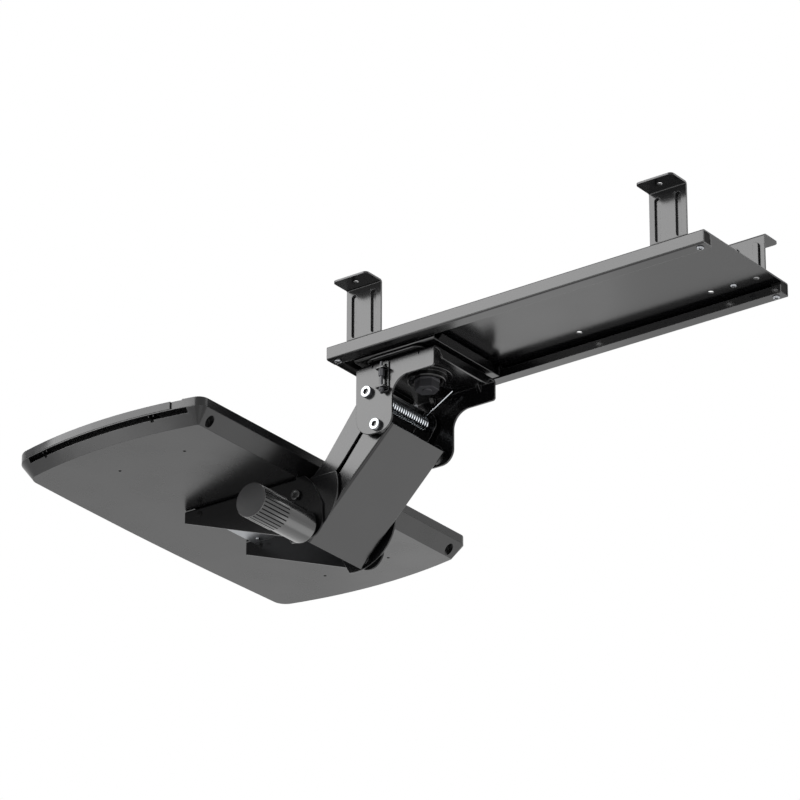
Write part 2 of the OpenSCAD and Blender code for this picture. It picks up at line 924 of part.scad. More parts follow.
// A channel that runs along an arm, open away from its cover face, from s0 to s1
module arm_channel(y, z, s0, s1, half, off, depth, t) {
    translate([0, y, z])
        rotate([arm_turn, 0, 0])
            mirror([0, 0, 1])
                translate([0, s1, 0])
                    rotate([90, 0, 0])
                        linear_extrude(s1 - s0)
                            mirror([0, 1]) channel2d(half, off, depth, t);
}

module lower_arm() {
    s1 = arm_len + cover_end;
    color("gray")
        difference() {
            intersection() {
                arm_channel(by, bz, -cover_top - 5, s1 + 5, wall_x, cover_off, 50, arm_t);
                side_plate(-wall_x - 1, 2 * wall_x + 2)
                    along_arm(by, bz) lower_arm_wall();
            }
            for (p = [[by, bz], [dy, dz]])
                rod(-wall_x - 1, wall_x + 1, p[0], p[1], pin_r + run);
        }
}

// Upper arm: two cranked side plates joined by a web on their top side
link_top = [[-12, 16], [2, 16], [18, 12.8], [60, 6.4], [arm_len - 58, 0.4], [arm_len - 35, 1]];
module upper_arm_wall() {
    circle(16);
    translate([arm_len, 0]) circle(10.5);
    polygon([
        each link_top, [arm_len, 10.4],
        [arm_len, -10.4], [arm_len - 60, -25.4], [84, -24.4], [44, -20.5], [8, -18], [-8, -13.6], [-16, -2],
    ]);
}

module upper_arm() {
    color("gray")
        difference() {
            union() {
                both_sides()
                    side_plate(link_in, link_t)
                        along_arm(ay, az) upper_arm_wall();
                side_plate(-link_in - eps, 2 * link_in + 2 * eps)
                    along_arm(ay, az)
                        polygon(concat(link_top, [
                            for (i = [len(link_top) - 1:-1:0]) link_top[i] - [0, link_t]
                        ]));
            }
            rod(-link_out - 1, link_out + 1, ay, az, pin_r + run);
            rod(-link_out - 1, link_out + 1, cy, cz, pin_r + open_clear);
        }
}

// Head: round ears joined by a web at the front, level at every height
module ear_profile() {
    difference() {
        intersection() {
            translate([cy, cz]) circle(ear_r, $fn = 128);
            polygon([
                [cy - 2, cz + ear_top], [cy + ear_r + 1, cz + ear_top], [cy + ear_r + 1, cz - ear_r - 1],
                [cy - 9, cz - ear_r - 1], [cy - head_web, cz - 42], [cy - head_web, cz + 2],
                [cy - 17, cz + 10],
            ]);
        }
    }
}

module head_bracket() {
    color([0.1, 0.1, 0.11])
        difference() {
            union() {
                both_sides()
                    side_plate(ear_in, head_t) ear_profile();
                block(
                    [-ear_in - eps, cy - head_web, cz - 40],
                    [ear_in + eps, cy - head_web + head_t, cz + 2]
                );
            }
            rod(-ear_out - 1, ear_out + 1, cy, cz, pin_r + run);
            rod(-ear_out - 1, ear_out + 1, dy, dz, pin_r + run);
        }
}

// Pins of the tilt axis, one on each side, with hexagon sockets
module tilt_pins() {
    head_h = 4;
    color("silver")
        both_sides() {
            rod(link_in - 1.5, wing_out + side_gap + eps, cy, cz, pin_r);
            difference() {
                rod(wing_out + side_gap, wing_out + side_gap + head_h, cy, cz, 7);
                rod(wing_out + side_gap + 1.5, wing_out + side_gap + head_h + 1, cy, cz, 3, 6);
            }
        }
}

// Clamp shaft through the arm's end, the ears and the slots of the wings
module tilt_shaft() {
    color("silver") {
        rod(-wing_out - 9, knob_x0 + 30, dy, dz, pin_r);
        rod(-wing_out - 7.5, -wing_out - slip, dy, dz, 7.5, 6);
    }
}

module head_washers() {
    color("white") spacer_pair(wall_x, ear_in, dy, dz, 9);
}

module knob_washer() {
    color("silver")
        difference() {
            rod(wing_out + slip, wing_out + slip + washer_t, dy, dz, 17);
            rod(wing_out, knob_x0, dy, dz, pin_r + run);
        }
}

module knob_barrel() {
    neck = 3;
    color([0.12, 0.12, 0.13])
        translate([knob_x0, dy, dz])
            rotate([0, 90, 0])
                difference() {
                    rotate_extrude($fn = 96)
                        polygon([
                            [0, 0], [knob_r - 3, 0], [knob_r - 1, 2], [knob_r - 1, barrel_len],
                            [knob_r - 5, barrel_len], [knob_r - 5, barrel_len + grip_len - neck],
                            [0, barrel_len + grip_len - neck],
                        ]);
                    translate([0, 0, -1]) cylinder(h = 31.5, r = pin_r + run);
                }
}

module knob_grip() {
    wall = 0.15;
    color([0.08, 0.08, 0.09])
        translate([knob_x0 + barrel_len + 0.2, dy, dz])
            rotate([0, 90, 0])
                difference() {
                    cylinder(h = grip_len, r = knob_r, $fn = 96);
                    translate([0, 0, -1])
                        cylinder(h = grip_len - 2, r = knob_r - 5 + wall, $fn = 96);
                    for (i = [0:knob_ribs - 1])
                        rotate([0, 0, 360 * i / knob_ribs])
                            translate([knob_r, 0, -1])
                                rotate([0, 0, 45])
                                    cube([2 * groove_d / sqrt(2), 2 * groove_d / sqrt(2), 2 * grip_len - 4],
                                        center = true);
                }
}

// Wings of the tray bracket, with arc slots for the clamp shaft
slot_clear = 0.3;
slot_margin = 1;
shaft_angle = atan2(dz - cz, dy - cy);

module arc_slot() {
    r = pair_r;
    w = pin_r + slot_clear;
    a0 = shaft_angle - tilt_down - slot_margin;
    a1 = shaft_angle + tilt_up + slot_margin;
    translate([cy, cz]) {
        intersection() {
            difference() {
                circle(r + w);
                circle(r - w);
            }
            polygon([
                [0, 0], 2 * r * [cos(a0), sin(a0)], 3 * r * [cos((a0 + a1) / 2), sin((a0 + a1) / 2)],
                2 * r * [cos(a1), sin(a1)],
            ]);
        }
        for (a = [a0, a1])
            translate(r * [cos(a), sin(a)]) circle(w - 0.05);
    }
}

module wing_profile() {
    corner_y = dy + 6;
    corner_z = dz + 6.5;
    notch = 5;
    difference() {
        union() {
            polygon([
                [wing_y0 + notch, tray_z0], [wing_y0 + notch, tray_z0 - notch],
                [wing_y0, tray_z0 - notch], [wing_y0, tray_z0 - wing_tip_h],
                [corner_y - 7, corner_z - wing_corner_r + 1.2], [corner_y, corner_z],
                [corner_y + wing_corner_r - 0.1, corner_z],
                [corner_y + wing_corner_r - 1, corner_z + 22],
                [cy + 25, cz + 11], [cy + 15, cz + 21.5], [cy + 12, tray_z0],
            ]);
            translate([corner_y, corner_z]) circle(wing_corner_r);
        }
        arc_slot();
        translate([cy, cz]) circle(pin_r + run);
        translate([wing_y0 + wing_hole_y, tray_z0 - wing_hole_z]) circle(wing_hole_r);
    }
}

module wing_right() { wing(); }
module wing_left() { mirror([1, 0, 0]) wing(); }

// Side of the tray bracket: a wing with a flange turned inwards under the tray
module wing() {
    top = tray_z0 - side_gap / 2;
    r = bend_in + wing_t;
    color([0.09, 0.09, 0.1])
        difference() {
            union() {
                side_plate(wing_in, wing_t) wing_profile();
                block(
                    [wing_out - flange_in, wing_y0 + wing_lead, top - wing_t],
                    [wing_in + eps, base_y1, top]
                );
            }
            block([wing_in - 1, wing_y0 - 1, top], [wing_out + 1, cy + ear_r * 2, tray_z0 + 1]);
            translate([0, base_y1, 0])
                rotate([90, 0, 0])
                    linear_extrude(base_y1 - wing_y0 + 1)
                        difference() {
                            box2d(wing_out - r, top - r, wing_out + 1, top + 1);
                            translate([wing_out - r, top - r]) circle(r + 2 * eps);
                        }
            for (y = base_screw_y)
                translate([base_screw_x, y, top - wing_t - 1])
                    cylinder(h = wing_t + 2, r = plate_screw_r + 0.3);
        }
}

plate_screw_r = 1.8;
screw_head_r = 3.6;
screw_head_h = 1.2;
flange_in = 22;
wing_hole_y = 24;
wing_hole_z = 10;
wing_hole_r = 3;
wing_lead = 14;
base_screw_x = wing_out - flange_in / 2 - 3;
base_screw_y = [base_y1 - 30, base_y1 - 88, base_y1 - 152];
base_top = tray_z0 - side_gap / 2 - wing_t - seat;

// Plate that clamps the wings' flanges to the tray
module base_plate() {
    half = wing_in - side_gap / 2;
    color("lightgray")
        difference() {
            translate([0, 0, base_top - base_t])
                linear_extrude(base_t)
                    box2d(-half, wing_y0 + wing_lead, half, base_y1 - base_short);
            for (x = [-1, 1], y = base_screw_y)
                translate([x * base_screw_x, y, base_top - base_t - 1])
                    cylinder(h = base_t + 2, r = plate_screw_r + 0.3);
        }
}

// Screws through the plate and the wings' flanges into the tray
module plate_screws() {
    color("silver")
        for (x = [-1, 1], y = base_screw_y)
            translate([x * base_screw_x, y, base_top - base_t])
                pan_screw(plate_screw_r, screw_head_r, screw_head_h, base_t + wing_t + seat + screw_bite);
}

// Tray outline: bowed front, curved ends, straight back, moved inwards by inset
screw_bite = 2.6;
module tray_outline(inset = 0) {
    cx = tray_w / 2 - end_r;
    mid_y = tray_y0 + bulge_y;
    for (end = [[front_corner_r, tray_y0 - 1, mid_y], [corner_r, mid_y - eps, tray_y1 + 1]]) {
        round_r = max(end[0] - inset, 2);
        intersection() {
            offset(r = round_r)
                offset(delta = -round_r - inset)
                    intersection() {
                        translate([cx, mid_y]) circle(end_r, $fn = 180);
                        translate([-cx, mid_y]) circle(end_r, $fn = 180);
                        translate([0, tray_y0 + front_r]) circle(front_r, $fn = 720);
                        box2d(-tray_w / 2, tray_y0 - 1, tray_w / 2, tray_y1);
                    }
            box2d(-tray_w, end[1], tray_w, end[2]);
        }
    }
}

tray_hole_x = 213.7;
tray_hole_y = [tray_y1 - 79.5, tray_y1 - 184];
cable_x = 252;
snap_x = [-234, 0, 234];
clip_y = [tray_y1 - 73, tray_y1 - 250];
slot_y0 = tray_y0 + 34;
slot_y1 = tray_y1 - 22;
clip_half = 3.5;
clip_t = 1.2;
clip_drop = 2;
snap_half = 4;
snap_h = 3;
cable_r = 6.5;

// The pan's form from z0 to z1, inset by low at its floor and by high at its top
module pan_block(z0, z1, low, high) {
    hull() {
        translate([0, 0, z0]) linear_extrude(eps) tray_outline(low);
        translate([0, 0, z1 - eps]) linear_extrude(eps) tray_outline(high);
    }
}

// Tray bottom: a pan with a sloping edge all round and a step under each slot
module tray_bottom() {
    color([0.2, 0.2, 0.21])
        difference() {
            pan_block(tray_z0, shell_z1, bevel_w, 0);
            pan_block(tray_z0 + shell_t, shell_z1 + 1, bevel_w + shell_t, slot_d + shell_t);
            for (s = [-1, 1])
                scale([s, 1, 1])
                    end_slot();
            for (x = [-1, 1], y = tray_hole_y)
                translate([x * tray_hole_x, y, tray_z0 - 1])
                    cylinder(h = shell_t + 2, r = 2);
            for (x = [-1, 1])
                translate([x * cable_x, tray_y1 + 1, tray_z0 + 1.2 * cable_r])
                    rotate([90, 0, 0])
                        cylinder(h = bevel_w, r = cable_r);
            for (x = snap_x)
                block(
                    [x - snap_half, tray_y0 - 1, shell_z1 - snap_h],
                    [x + snap_half, tray_y0 + snap_h, shell_z1 + 1]
                );
            for (x = [-1, 1], y = base_screw_y)
                translate([x * base_screw_x, y, tray_z0 - 1])
                    cylinder(h = shell_t + 2, r = plate_screw_r + run);
        }
}

// The slot along one end, open outwards, with a notch below each clip
module end_slot() {
    translate([0, 0, slot_z0])
        linear_extrude(slot_h + 1)
            difference() {
                box2d(tray_w / 2 - slot_d - 26, slot_y0, tray_w / 2 + 1, slot_y1);
                tray_outline(slot_d);
            }
    translate([0, 0, slot_z0 - clip_drop])
        linear_extrude(slot_h)
            difference() {
                for (y = clip_y)
                    box2d(
                        tray_w / 2 - slot_d - 26, y - clip_half + clip_t,
                        tray_w / 2 + 1, y + clip_half - clip_t
                    );
                tray_outline(slot_d - 4);
            }
}

// Pairs of short ribs that hang from the top shell into the slot
module end_clips() {
    translate([0, 0, shell_z1 - clip_drop])
        linear_extrude(clip_drop + eps)
            intersection() {
                difference() {
                    tray_outline(trim_d);
                    tray_outline(slot_d - 0.4);
                }
                for (y = clip_y, s = [-1, 1])
                    box2d(0, y + s * clip_half - clip_t / 2, tray_w, y + s * clip_half + clip_t / 2);
            }
}

// Tray top: the deck with a low rim, and four posts that take the shell screws
shell_screw_r = 1.4;
boss_r = 5;
module tray_top() {
    boss_z = tray_z0 + shell_t + 0.1;
    color([0.16, 0.16, 0.17])
        difference() {
            union() {
                difference() {
                    translate([0, 0, shell_z1])
                        linear_extrude(tray_z1 - shell_z1) tray_outline();
                    translate([0, 0, shell_z1 - 1])
                        linear_extrude(deck_z - shell_t - shell_z1 + 1) tray_outline(slot_d + shell_t);
                }
                for (x = [-1, 1], y = tray_hole_y)
                    translate([x * tray_hole_x, y, boss_z])
                        cylinder(h = deck_z - shell_t - boss_z + eps, r = boss_r);
                end_clips();
                mirror([1, 0, 0]) end_clips();
            }
            for (x = [-1, 1], y = tray_hole_y)
                translate([x * tray_hole_x, y, boss_z - 1])
                    cylinder(h = 15, r = shell_screw_r + run);
            translate([0, 0, deck_z])
                linear_extrude(rim_h + 1) tray_outline(rim_w);
            for (s = [-1, 1])
                scale([s, 1, 1])
                    trim_groove();
        }
}

// Groove round one end of the deck that holds the trim strip
trim_d = 2.4;
trim_lip = 1.2;
trim_y0 = slot_y0 - 6;
trim_y1 = slot_y1 - 22;
trim_gap = 16;
module trim_groove() {
    translate([0, 0, shell_z1 + trim_lip])
        linear_extrude(tray_z1 - shell_z1)
            difference() {
                box2d(tray_w / 2 - trim_d - 26, trim_y0, tray_w / 2 + 1, trim_y1 + trim_gap);
                tray_outline(trim_d);
            }
}

module end_trim() {
    color([0.45, 0.45, 0.46])
        translate([0, 0, shell_z1 + trim_lip + 0.1])
            linear_extrude(tray_z1 - shell_z1 - trim_lip - 0.1)
                intersection() {
                    difference() {
                        tray_outline();
                        tray_outline(trim_d - 0.1);
                    }
                    box2d(0, trim_y0 + 0.2, tray_w, trim_y1);
                }
}

module end_trim_right() { end_trim(); }
module end_trim_left() { mirror([1, 0, 0]) end_trim(); }

module tray_screws() {
    head_h = 1.8;
    color("dimgray")
        for (x = [-1, 1], y = tray_hole_y)
            translate([x * tray_hole_x, y, tray_z0 + shell_t]) {
                translate([0, 0, -head_h]) cylinder(h = head_h, r = 2 - run);
                cylinder(h = 12, r = shell_screw_r);
            }
}

track();
hanger_front_right();
hanger_front_left();
hanger_back_right();
hanger_back_left();
hanger_screws();
hanger_nuts();
stop_front_right();
stop_front_left();
stop_back_right();
stop_back_left();
stop_screws();
carriage_plate();
glide_front_right();
glide_front_left();
glide_back_right();
glide_back_left();
slip_disc();
swivel_bolt();
swivel_nut();
swivel_plate();
mount_bracket();
swivel_collar();
upper_pin();
lower_pin();
upper_spacers();
lower_spacers();
torsion_spring();
stop_bracket();
stop_bolt();
lower_arm();
upper_arm();
head_bracket();
tilt_shaft();
tilt_pins();
head_washers();
knob_washer();
knob_barrel();
knob_grip();
wing_right();
wing_left();
base_plate();
plate_screws();
tray_bottom();
tray_top();
end_trim_right();
end_trim_left();
tray_screws();
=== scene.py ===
"""Under-desk keyboard tray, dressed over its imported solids.

Each sub-assembly is a class, from the desk down: Rail, Carriage, Mount, Arms, Head, Knob and
Tray. A solid whose shape is right is copied and its edges are eased; screws, pins, the spring,
the knob's grip and a few mouldings are modelled afresh. Sizes ending in _mm are millimetres and
every place handed to Blender is in metres.
"""

import json
import logging
import math
from collections.abc import Iterator
from contextlib import contextmanager
from dataclasses import dataclass, replace
from enum import Enum

import bpy
from mathutils import Matrix, Vector

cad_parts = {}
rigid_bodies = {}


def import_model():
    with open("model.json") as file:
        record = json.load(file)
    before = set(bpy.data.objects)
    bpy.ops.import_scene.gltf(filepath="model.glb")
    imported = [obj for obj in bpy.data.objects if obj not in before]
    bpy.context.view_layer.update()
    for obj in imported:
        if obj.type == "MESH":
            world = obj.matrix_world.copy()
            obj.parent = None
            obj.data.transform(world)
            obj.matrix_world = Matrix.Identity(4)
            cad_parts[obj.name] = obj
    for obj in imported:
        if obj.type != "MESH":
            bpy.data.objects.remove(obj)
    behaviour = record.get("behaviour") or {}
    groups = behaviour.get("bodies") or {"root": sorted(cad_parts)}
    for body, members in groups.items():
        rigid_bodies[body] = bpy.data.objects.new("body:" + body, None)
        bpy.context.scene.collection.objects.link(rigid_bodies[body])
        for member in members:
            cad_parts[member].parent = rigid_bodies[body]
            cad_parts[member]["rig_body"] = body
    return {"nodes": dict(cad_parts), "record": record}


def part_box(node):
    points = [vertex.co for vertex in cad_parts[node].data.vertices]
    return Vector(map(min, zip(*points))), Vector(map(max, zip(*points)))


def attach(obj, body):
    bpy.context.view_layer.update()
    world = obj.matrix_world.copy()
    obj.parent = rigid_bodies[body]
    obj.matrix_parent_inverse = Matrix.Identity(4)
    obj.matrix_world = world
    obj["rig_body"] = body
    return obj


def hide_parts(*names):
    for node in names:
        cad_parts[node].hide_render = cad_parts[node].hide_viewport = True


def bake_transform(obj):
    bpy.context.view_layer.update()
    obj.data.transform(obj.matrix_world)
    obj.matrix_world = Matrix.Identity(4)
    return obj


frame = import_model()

log = logging.getLogger("keyboard_tray")

Key = str | int
Place = tuple[float, float, float]
Profile = tuple[tuple[float, float], ...]  # rings of a turned piece, measured as a comment says
Corners = tuple[Vector, Vector]

MM = 0.001
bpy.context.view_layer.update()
MERGE = 0.01 * MM  # points nearer than this are one point
FLAT_DEG = 1.0  # faces that turn less than this become one face
EASE_DEG = 35.0  # edges that turn more than this are rounded
ALONG = 0.9  # a face looks along an axis when its normal has more than this of it
ACROSS = 0.1  # and it looks across the axis when its normal has less than this
NOISE_RANGE = (0.3, 0.7)  # most of a noise's values lie between these
EDGE_HIGHLIGHT_RANGE = (0.98, 0.8)  # how far rounded and true normals agree where the painted edge highlight starts and is full


def linear(colour: str) -> tuple[float, float, float, float]:
    """Turns an sRGB hex colour to linear light.

    Args:
        colour: a hex colour such as "#202124".

    Returns:
        Red, green, blue and an alpha of 1.
    """
    parts = [int(colour[i : i + 2], 16) / 255 for i in (1, 3, 5)]
    r, g, b = (c / 12.92 if c <= 0.04045 else ((c + 0.055) / 1.055) ** 2.4 for c in parts)
    return (r, g, b, 1.0)


def add_node(
    tree: bpy.types.NodeTree,
    kind: str,
    settings: dict[Key, object] | None = None,
    links: dict[Key, bpy.types.NodeSocket] | None = None,
) -> bpy.types.Node:
    """Adds a shader node.

    Args:
        tree: the material's or world's node tree.
        kind: the node's type name.
        settings: attribute names, or input sockets by name or number, with their values.
        links: input sockets by name or number, with the output that feeds each.

    Returns:
        The new node.
    """
    node = tree.nodes.new(kind)
    for key, value in (settings or {}).items():
        if isinstance(key, str) and hasattr(node, key):
            setattr(node, key, value)
        else:
            node.inputs[key].default_value = value
    for key, source in (links or {}).items():
        tree.links.new(source, node.inputs[key])
    return node


@dataclass(frozen=True)
class Finish:
    """A finish with a fine grain, a soft change of gloss and a painted highlight along its edges.
    """

    name: str
    colour: str
    # colour of the painted highlight along the edges, where they would catch the light
    edge_highlight: str
    roughness: float
    metallic: float = 0.0
    specular: float = 0.5
    coat: float = 0.0
    grain_mm: float = 0.8
    grain_depth_mm: float = 0.02
    blotch_mm: float = 60.0
    blotch: float = 0.12
    # how strongly the painted edge highlight shows
    edge_highlight_strength: float = 0.25
    edge_mm: float = 0.5

    def material(self) -> bpy.types.Material:
        """Builds the material once.

        Returns:
            The Blender material with this finish's name.
        """
        made = bpy.data.materials.get(self.name)
        if made:
            return made
        made = bpy.data.materials.new(self.name)
        made.use_nodes = True
        tree = made.node_tree
        tree.nodes.clear()
        place = add_node(tree, "ShaderNodeTexCoord").outputs["Object"]
        edge = add_node(tree, "ShaderNodeBevel", {"samples": 4, "Radius": self.edge_mm * MM})
        skin = add_node(
            tree,
            "ShaderNodeBsdfPrincipled",
            {
                "Metallic": self.metallic,
                "Specular IOR Level": self.specular,
                "Coat Weight": self.coat,
            },
            {
                "Base Color": self.add_tone(tree, edge.outputs[0]),
                "Roughness": self.add_gloss(tree, place),
                "Normal": self.add_grain(tree, place, edge.outputs[0]),
            },
        )
        add_node(tree, "ShaderNodeOutputMaterial", {}, {"Surface": skin.outputs[0]})
        return made

    def add_tone(
        self, tree: bpy.types.NodeTree, edge: bpy.types.NodeSocket
    ) -> bpy.types.NodeSocket:
        """Adds the colour, with a painted highlight where the surface turns over an edge.

        Args:
            tree: the material's node tree.
            edge: the normal rounded over the edges.

        Returns:
            The colour's output.
        """
        sharp = add_node(tree, "ShaderNodeNewGeometry").outputs["Normal"]
        facing = add_node(
            tree, "ShaderNodeVectorMath", {"operation": "DOT_PRODUCT"}, {0: edge, 1: sharp}
        )
        # painted highlight: the colour turns paler where the rounded normal parts from the true
        # one, over the edges
        edge_highlight = add_node(
            tree,
            "ShaderNodeMapRange",
            {
                "From Min": EDGE_HIGHLIGHT_RANGE[0],
                "From Max": EDGE_HIGHLIGHT_RANGE[1],
                "To Min": 0.0,
                "To Max": self.edge_highlight_strength,
            },
            {"Value": facing.outputs["Value"]},
        )
        tone = add_node(
            tree,
            "ShaderNodeMix",
            {"data_type": "RGBA", 6: linear(self.colour), 7: linear(self.edge_highlight)},
            {0: edge_highlight.outputs[0]},
        )
        return tone.outputs[2]

    def add_gloss(
        self, tree: bpy.types.NodeTree, place: bpy.types.NodeSocket
    ) -> bpy.types.NodeSocket:
        """Adds the roughness, which drifts a little over the surface.

        Args:
            tree: the material's node tree.
            place: Object coordinates.

        Returns:
            The roughness' output.
        """
        blotch = add_node(
            tree,
            "ShaderNodeTexNoise",
            {"Scale": 1 / (self.blotch_mm * MM), "Detail": 4.0},
            {"Vector": place},
        )
        rough = add_node(
            tree,
            "ShaderNodeMapRange",
            {
                "From Min": NOISE_RANGE[0],
                "From Max": NOISE_RANGE[1],
                "To Min": self.roughness * (1 - self.blotch),
                "To Max": self.roughness * (1 + self.blotch),
            },
            {"Value": blotch.outputs[0]},
        )
        return rough.outputs[0]

    def add_grain(
        self,
        tree: bpy.types.NodeTree,
        place: bpy.types.NodeSocket,
        edge: bpy.types.NodeSocket,
    ) -> bpy.types.NodeSocket:
        """Adds the fine relief of the coat, the mould or the metal.

        Args:
            tree: the material's node tree.
            place: Object coordinates.
            edge: the normal rounded over the edges.

        Returns:
            The normal's output.
        """
        grain = add_node(
            tree,
            "ShaderNodeTexNoise",
            {"Scale": 1 / (self.grain_mm * MM), "Detail": 3.0, "Roughness": 0.6},
            {"Vector": place},
        )
        bump = add_node(
            tree,
            "ShaderNodeBump",
            {"Strength": 1.0, "Distance": self.grain_depth_mm * MM},
            {"Height": grain.outputs[0], "Normal": edge},
        )
        return bump.outputs[0]


# In each finish below, the second colour is a painted highlight along the edges.
# Black powder coat on steel: sprayed and baked, satin, so it mirrors pale things softly
POWDER_COAT = Finish(
    "black_powder_coat", "#0a0a0b", "#8a8a8c", roughness=0.2, specular=0.42,
    grain_mm=0.9, grain_depth_mm=0.004, edge_highlight_strength=0.6, edge_mm=0.9,
)
# Black powder coat on the tray's wings, made darker and less glossy: its colour is painted shade of
# the tray that hangs over them
SHADED_POWDER_COAT = Finish(
    "black_e_coat", "#060607", "#4a4a4c", roughness=0.3, specular=0.2,
    grain_mm=0.9, grain_depth_mm=0.004, edge_highlight_strength=0.4, edge_mm=0.7,
)
# Moulded rubber on the end stops, the bar between them and the plugs: matt, the blackest here
RUBBER = Finish(
    "black_rubber", "#060606", "#1c1c1c", roughness=0.7, specular=0.15,
    grain_mm=0.9, grain_depth_mm=0.01,
)
# Nickel plating on the screws, nuts, arm pins and the knob's washer: smooth and bright
NICKEL = Finish(
    "nickel_plate", "#8f9194", "#b4b6b9", roughness=0.3, metallic=1.0,
    grain_mm=1.2, grain_depth_mm=0.003,
)
# Zinc plating on the base plate and tilt shaft: pale metal, a little duller than the nickel; on the
# base plate its paleness also paints in a bright highlight
ZINC = Finish(
    "zinc_plate", "#8e9093", "#c4c6c8", roughness=0.36, metallic=1.0,
    grain_mm=2.5, grain_depth_mm=0.008,
)
# Drawn spring wire, oiled: pale, with a cool tint and a broad shine
WIRE = Finish(
    "spring_wire", "#8ea2ab", "#dfe9ee", roughness=0.4, metallic=1.0,
    grain_mm=0.8, grain_depth_mm=0.003,
)
# ABS moulding with a fine spark-eroded grain: satin black, the tray's two shells
ABS = Finish(
    "grained_abs", "#0a0a0b", "#48484a", roughness=0.26, specular=0.38,
    grain_mm=0.6, grain_depth_mm=0.006, edge_highlight_strength=0.4, edge_mm=0.6,
)
# Soft-touch paint on ABS: matt charcoal, the knob's end and the floors of its grooves
SOFT_TOUCH = Finish(
    "soft_touch", "#131314", "#2a2a2c", roughness=0.62, specular=0.25,
    grain_mm=0.7, grain_depth_mm=0.012,
)
# Polished ABS: the knob's barrel and the crests of its grip, which mirror the room
GLOSS_ABS = Finish(
    "polished_abs", "#0a0a0b", "#232325", roughness=0.22, specular=0.8, coat=0.2,
    grain_mm=3.0, grain_depth_mm=0.003,
)
# Black nylon on glides, washers and spacers: waxy, between satin and matt
NYLON = Finish(
    "black_nylon", "#141415", "#29292b", roughness=0.42, grain_mm=1.0, grain_depth_mm=0.01
)
# Smooth ABS strip let into the tray's ends: glossier than the shells, so it shines pale
TRIM = Finish(
    "smooth_abs", "#0e0e10", "#5a5a5c", roughness=0.16, specular=0.3,
    grain_mm=0.6, grain_depth_mm=0.003,
)
# Black oxide on the tray's screws, the tilt pins and in the cross recesses: oily near-black
OXIDE = Finish(
    "black_oxide", "#0e0e0f", "#3a3a3c", roughness=0.24, metallic=0.2, specular=0.8,
    grain_mm=0.8, grain_depth_mm=0.004,
)
# Phosphated steel on the swivel's bolt and nut and the height stop: dark grey, half matt
PHOSPHATE = Finish(
    "phosphated_steel", "#3c3c3f", "#6c6c70", roughness=0.42, metallic=0.35, specular=0.6,
    grain_mm=0.8, grain_depth_mm=0.006, edge_highlight_strength=0.6, edge_mm=0.8,
)

FINISH_OF: dict[str, Finish] = {
    "black_steel": POWDER_COAT,
    "bright_steel": NICKEL,
    "spring_wire": WIRE,
    "nylon": NYLON,
    "black_plastic": ABS,
    "gloss_black": GLOSS_ABS,
    "trim_grey": TRIM,
    "dark_screw": OXIDE,
}
SLOT_OF: dict[str, str] = {s["node"]: s["material_slot"] for s in frame["record"]["subparts"]}


class Facing(Enum):
    """The way that a turned piece's axis points."""

    RIGHT = (1.0, 0.0, 0.0)
    LEFT = (-1.0, 0.0, 0.0)
    DOWN = (0.0, 0.0, -1.0)


def dress(piece: bpy.types.Object, finish: Finish) -> None:
    """Gives a piece one finish all over.

    Args:
        piece: the object to dress.
        finish: its finish.
    """
    piece.data.materials.clear()
    piece.data.materials.append(finish.material())


def deselect() -> None:
    """Leaves object mode with nothing selected."""
    if bpy.context.object and bpy.context.object.mode != "OBJECT":
        bpy.ops.object.mode_set(mode="OBJECT")
    bpy.ops.object.select_all(action="DESELECT")


def activate(piece: bpy.types.Object) -> None:
    """Makes a piece the only selected and the active object.

    Args:
        piece: the object.
    """
    deselect()
    piece.select_set(True)
    bpy.context.view_layer.objects.active = piece


@contextmanager
def opened(piece: bpy.types.Object) -> Iterator[None]:
    """Opens a piece in edit mode with all of it selected, and closes it at the end.

    Args:
        piece: the object.

    Yields:
        Nothing: the mesh operators in between work on the piece.
    """
    activate(piece)
    bpy.ops.object.mode_set(mode="EDIT")
    bpy.ops.mesh.select_all(action="SELECT")
    yield
    bpy.ops.object.mode_set(mode="OBJECT")


@contextmanager
def opened_facing_down(piece: bpy.types.Object, top_mm: float) -> Iterator[None]:
    """Opens a piece in edit mode with only its downward faces selected.

    Args:
        piece: the object.
        top_mm: faces whose middle is higher than this are left out.

    Yields:
        Nothing: the mesh operators in between work on those faces.
    """
    activate(piece)
    bpy.ops.object.mode_set(mode="EDIT")
    bpy.ops.mesh.select_mode(type="FACE")
    bpy.ops.mesh.select_all(action="DESELECT")
    bpy.ops.object.mode_set(mode="OBJECT")
    for face in piece.data.polygons:
        face.select = face.normal.z < -ALONG and face.center.z < top_mm * MM
    bpy.ops.object.mode_set(mode="EDIT")
    yield
    bpy.ops.object.mode_set(mode="OBJECT")


def set_out(name: str, mesh: bpy.types.Mesh) -> bpy.types.Object:
    """Sets a mesh out in the scene, with its object at the origin.

    Args:
        name: the object's name.
        mesh: its mesh.

    Returns:
        The object.
    """
    piece = bpy.data.objects.new(name, mesh)
    bpy.context.scene.collection.objects.link(piece)
    return piece


def apply_place() -> None:
    """Puts the active object's place, turn and size into its mesh."""
    bpy.ops.object.transform_apply(location=True, rotation=True, scale=True)


def ease(piece: bpy.types.Object, edge_mm: float) -> None:
    """Rounds a piece's sharp edges and keeps its flat faces flat in the light.

    Args:
        piece: the object.
        edge_mm: width of the rounding.
    """
    activate(piece)
    bevel = piece.modifiers.new("ease", "BEVEL")
    bevel.width = edge_mm * MM
    bevel.segments = 2
    bevel.limit_method = "ANGLE"
    bevel.angle_limit = math.radians(EASE_DEG)
    bevel.use_clamp_overlap = True
    bpy.ops.object.modifier_apply(modifier=bevel.name)
    bpy.ops.object.shade_smooth_by_angle(angle=math.radians(EASE_DEG))
    flat = piece.modifiers.new("flat", "WEIGHTED_NORMAL")
    flat.keep_sharp = True
    bpy.ops.object.modifier_apply(modifier=flat.name)


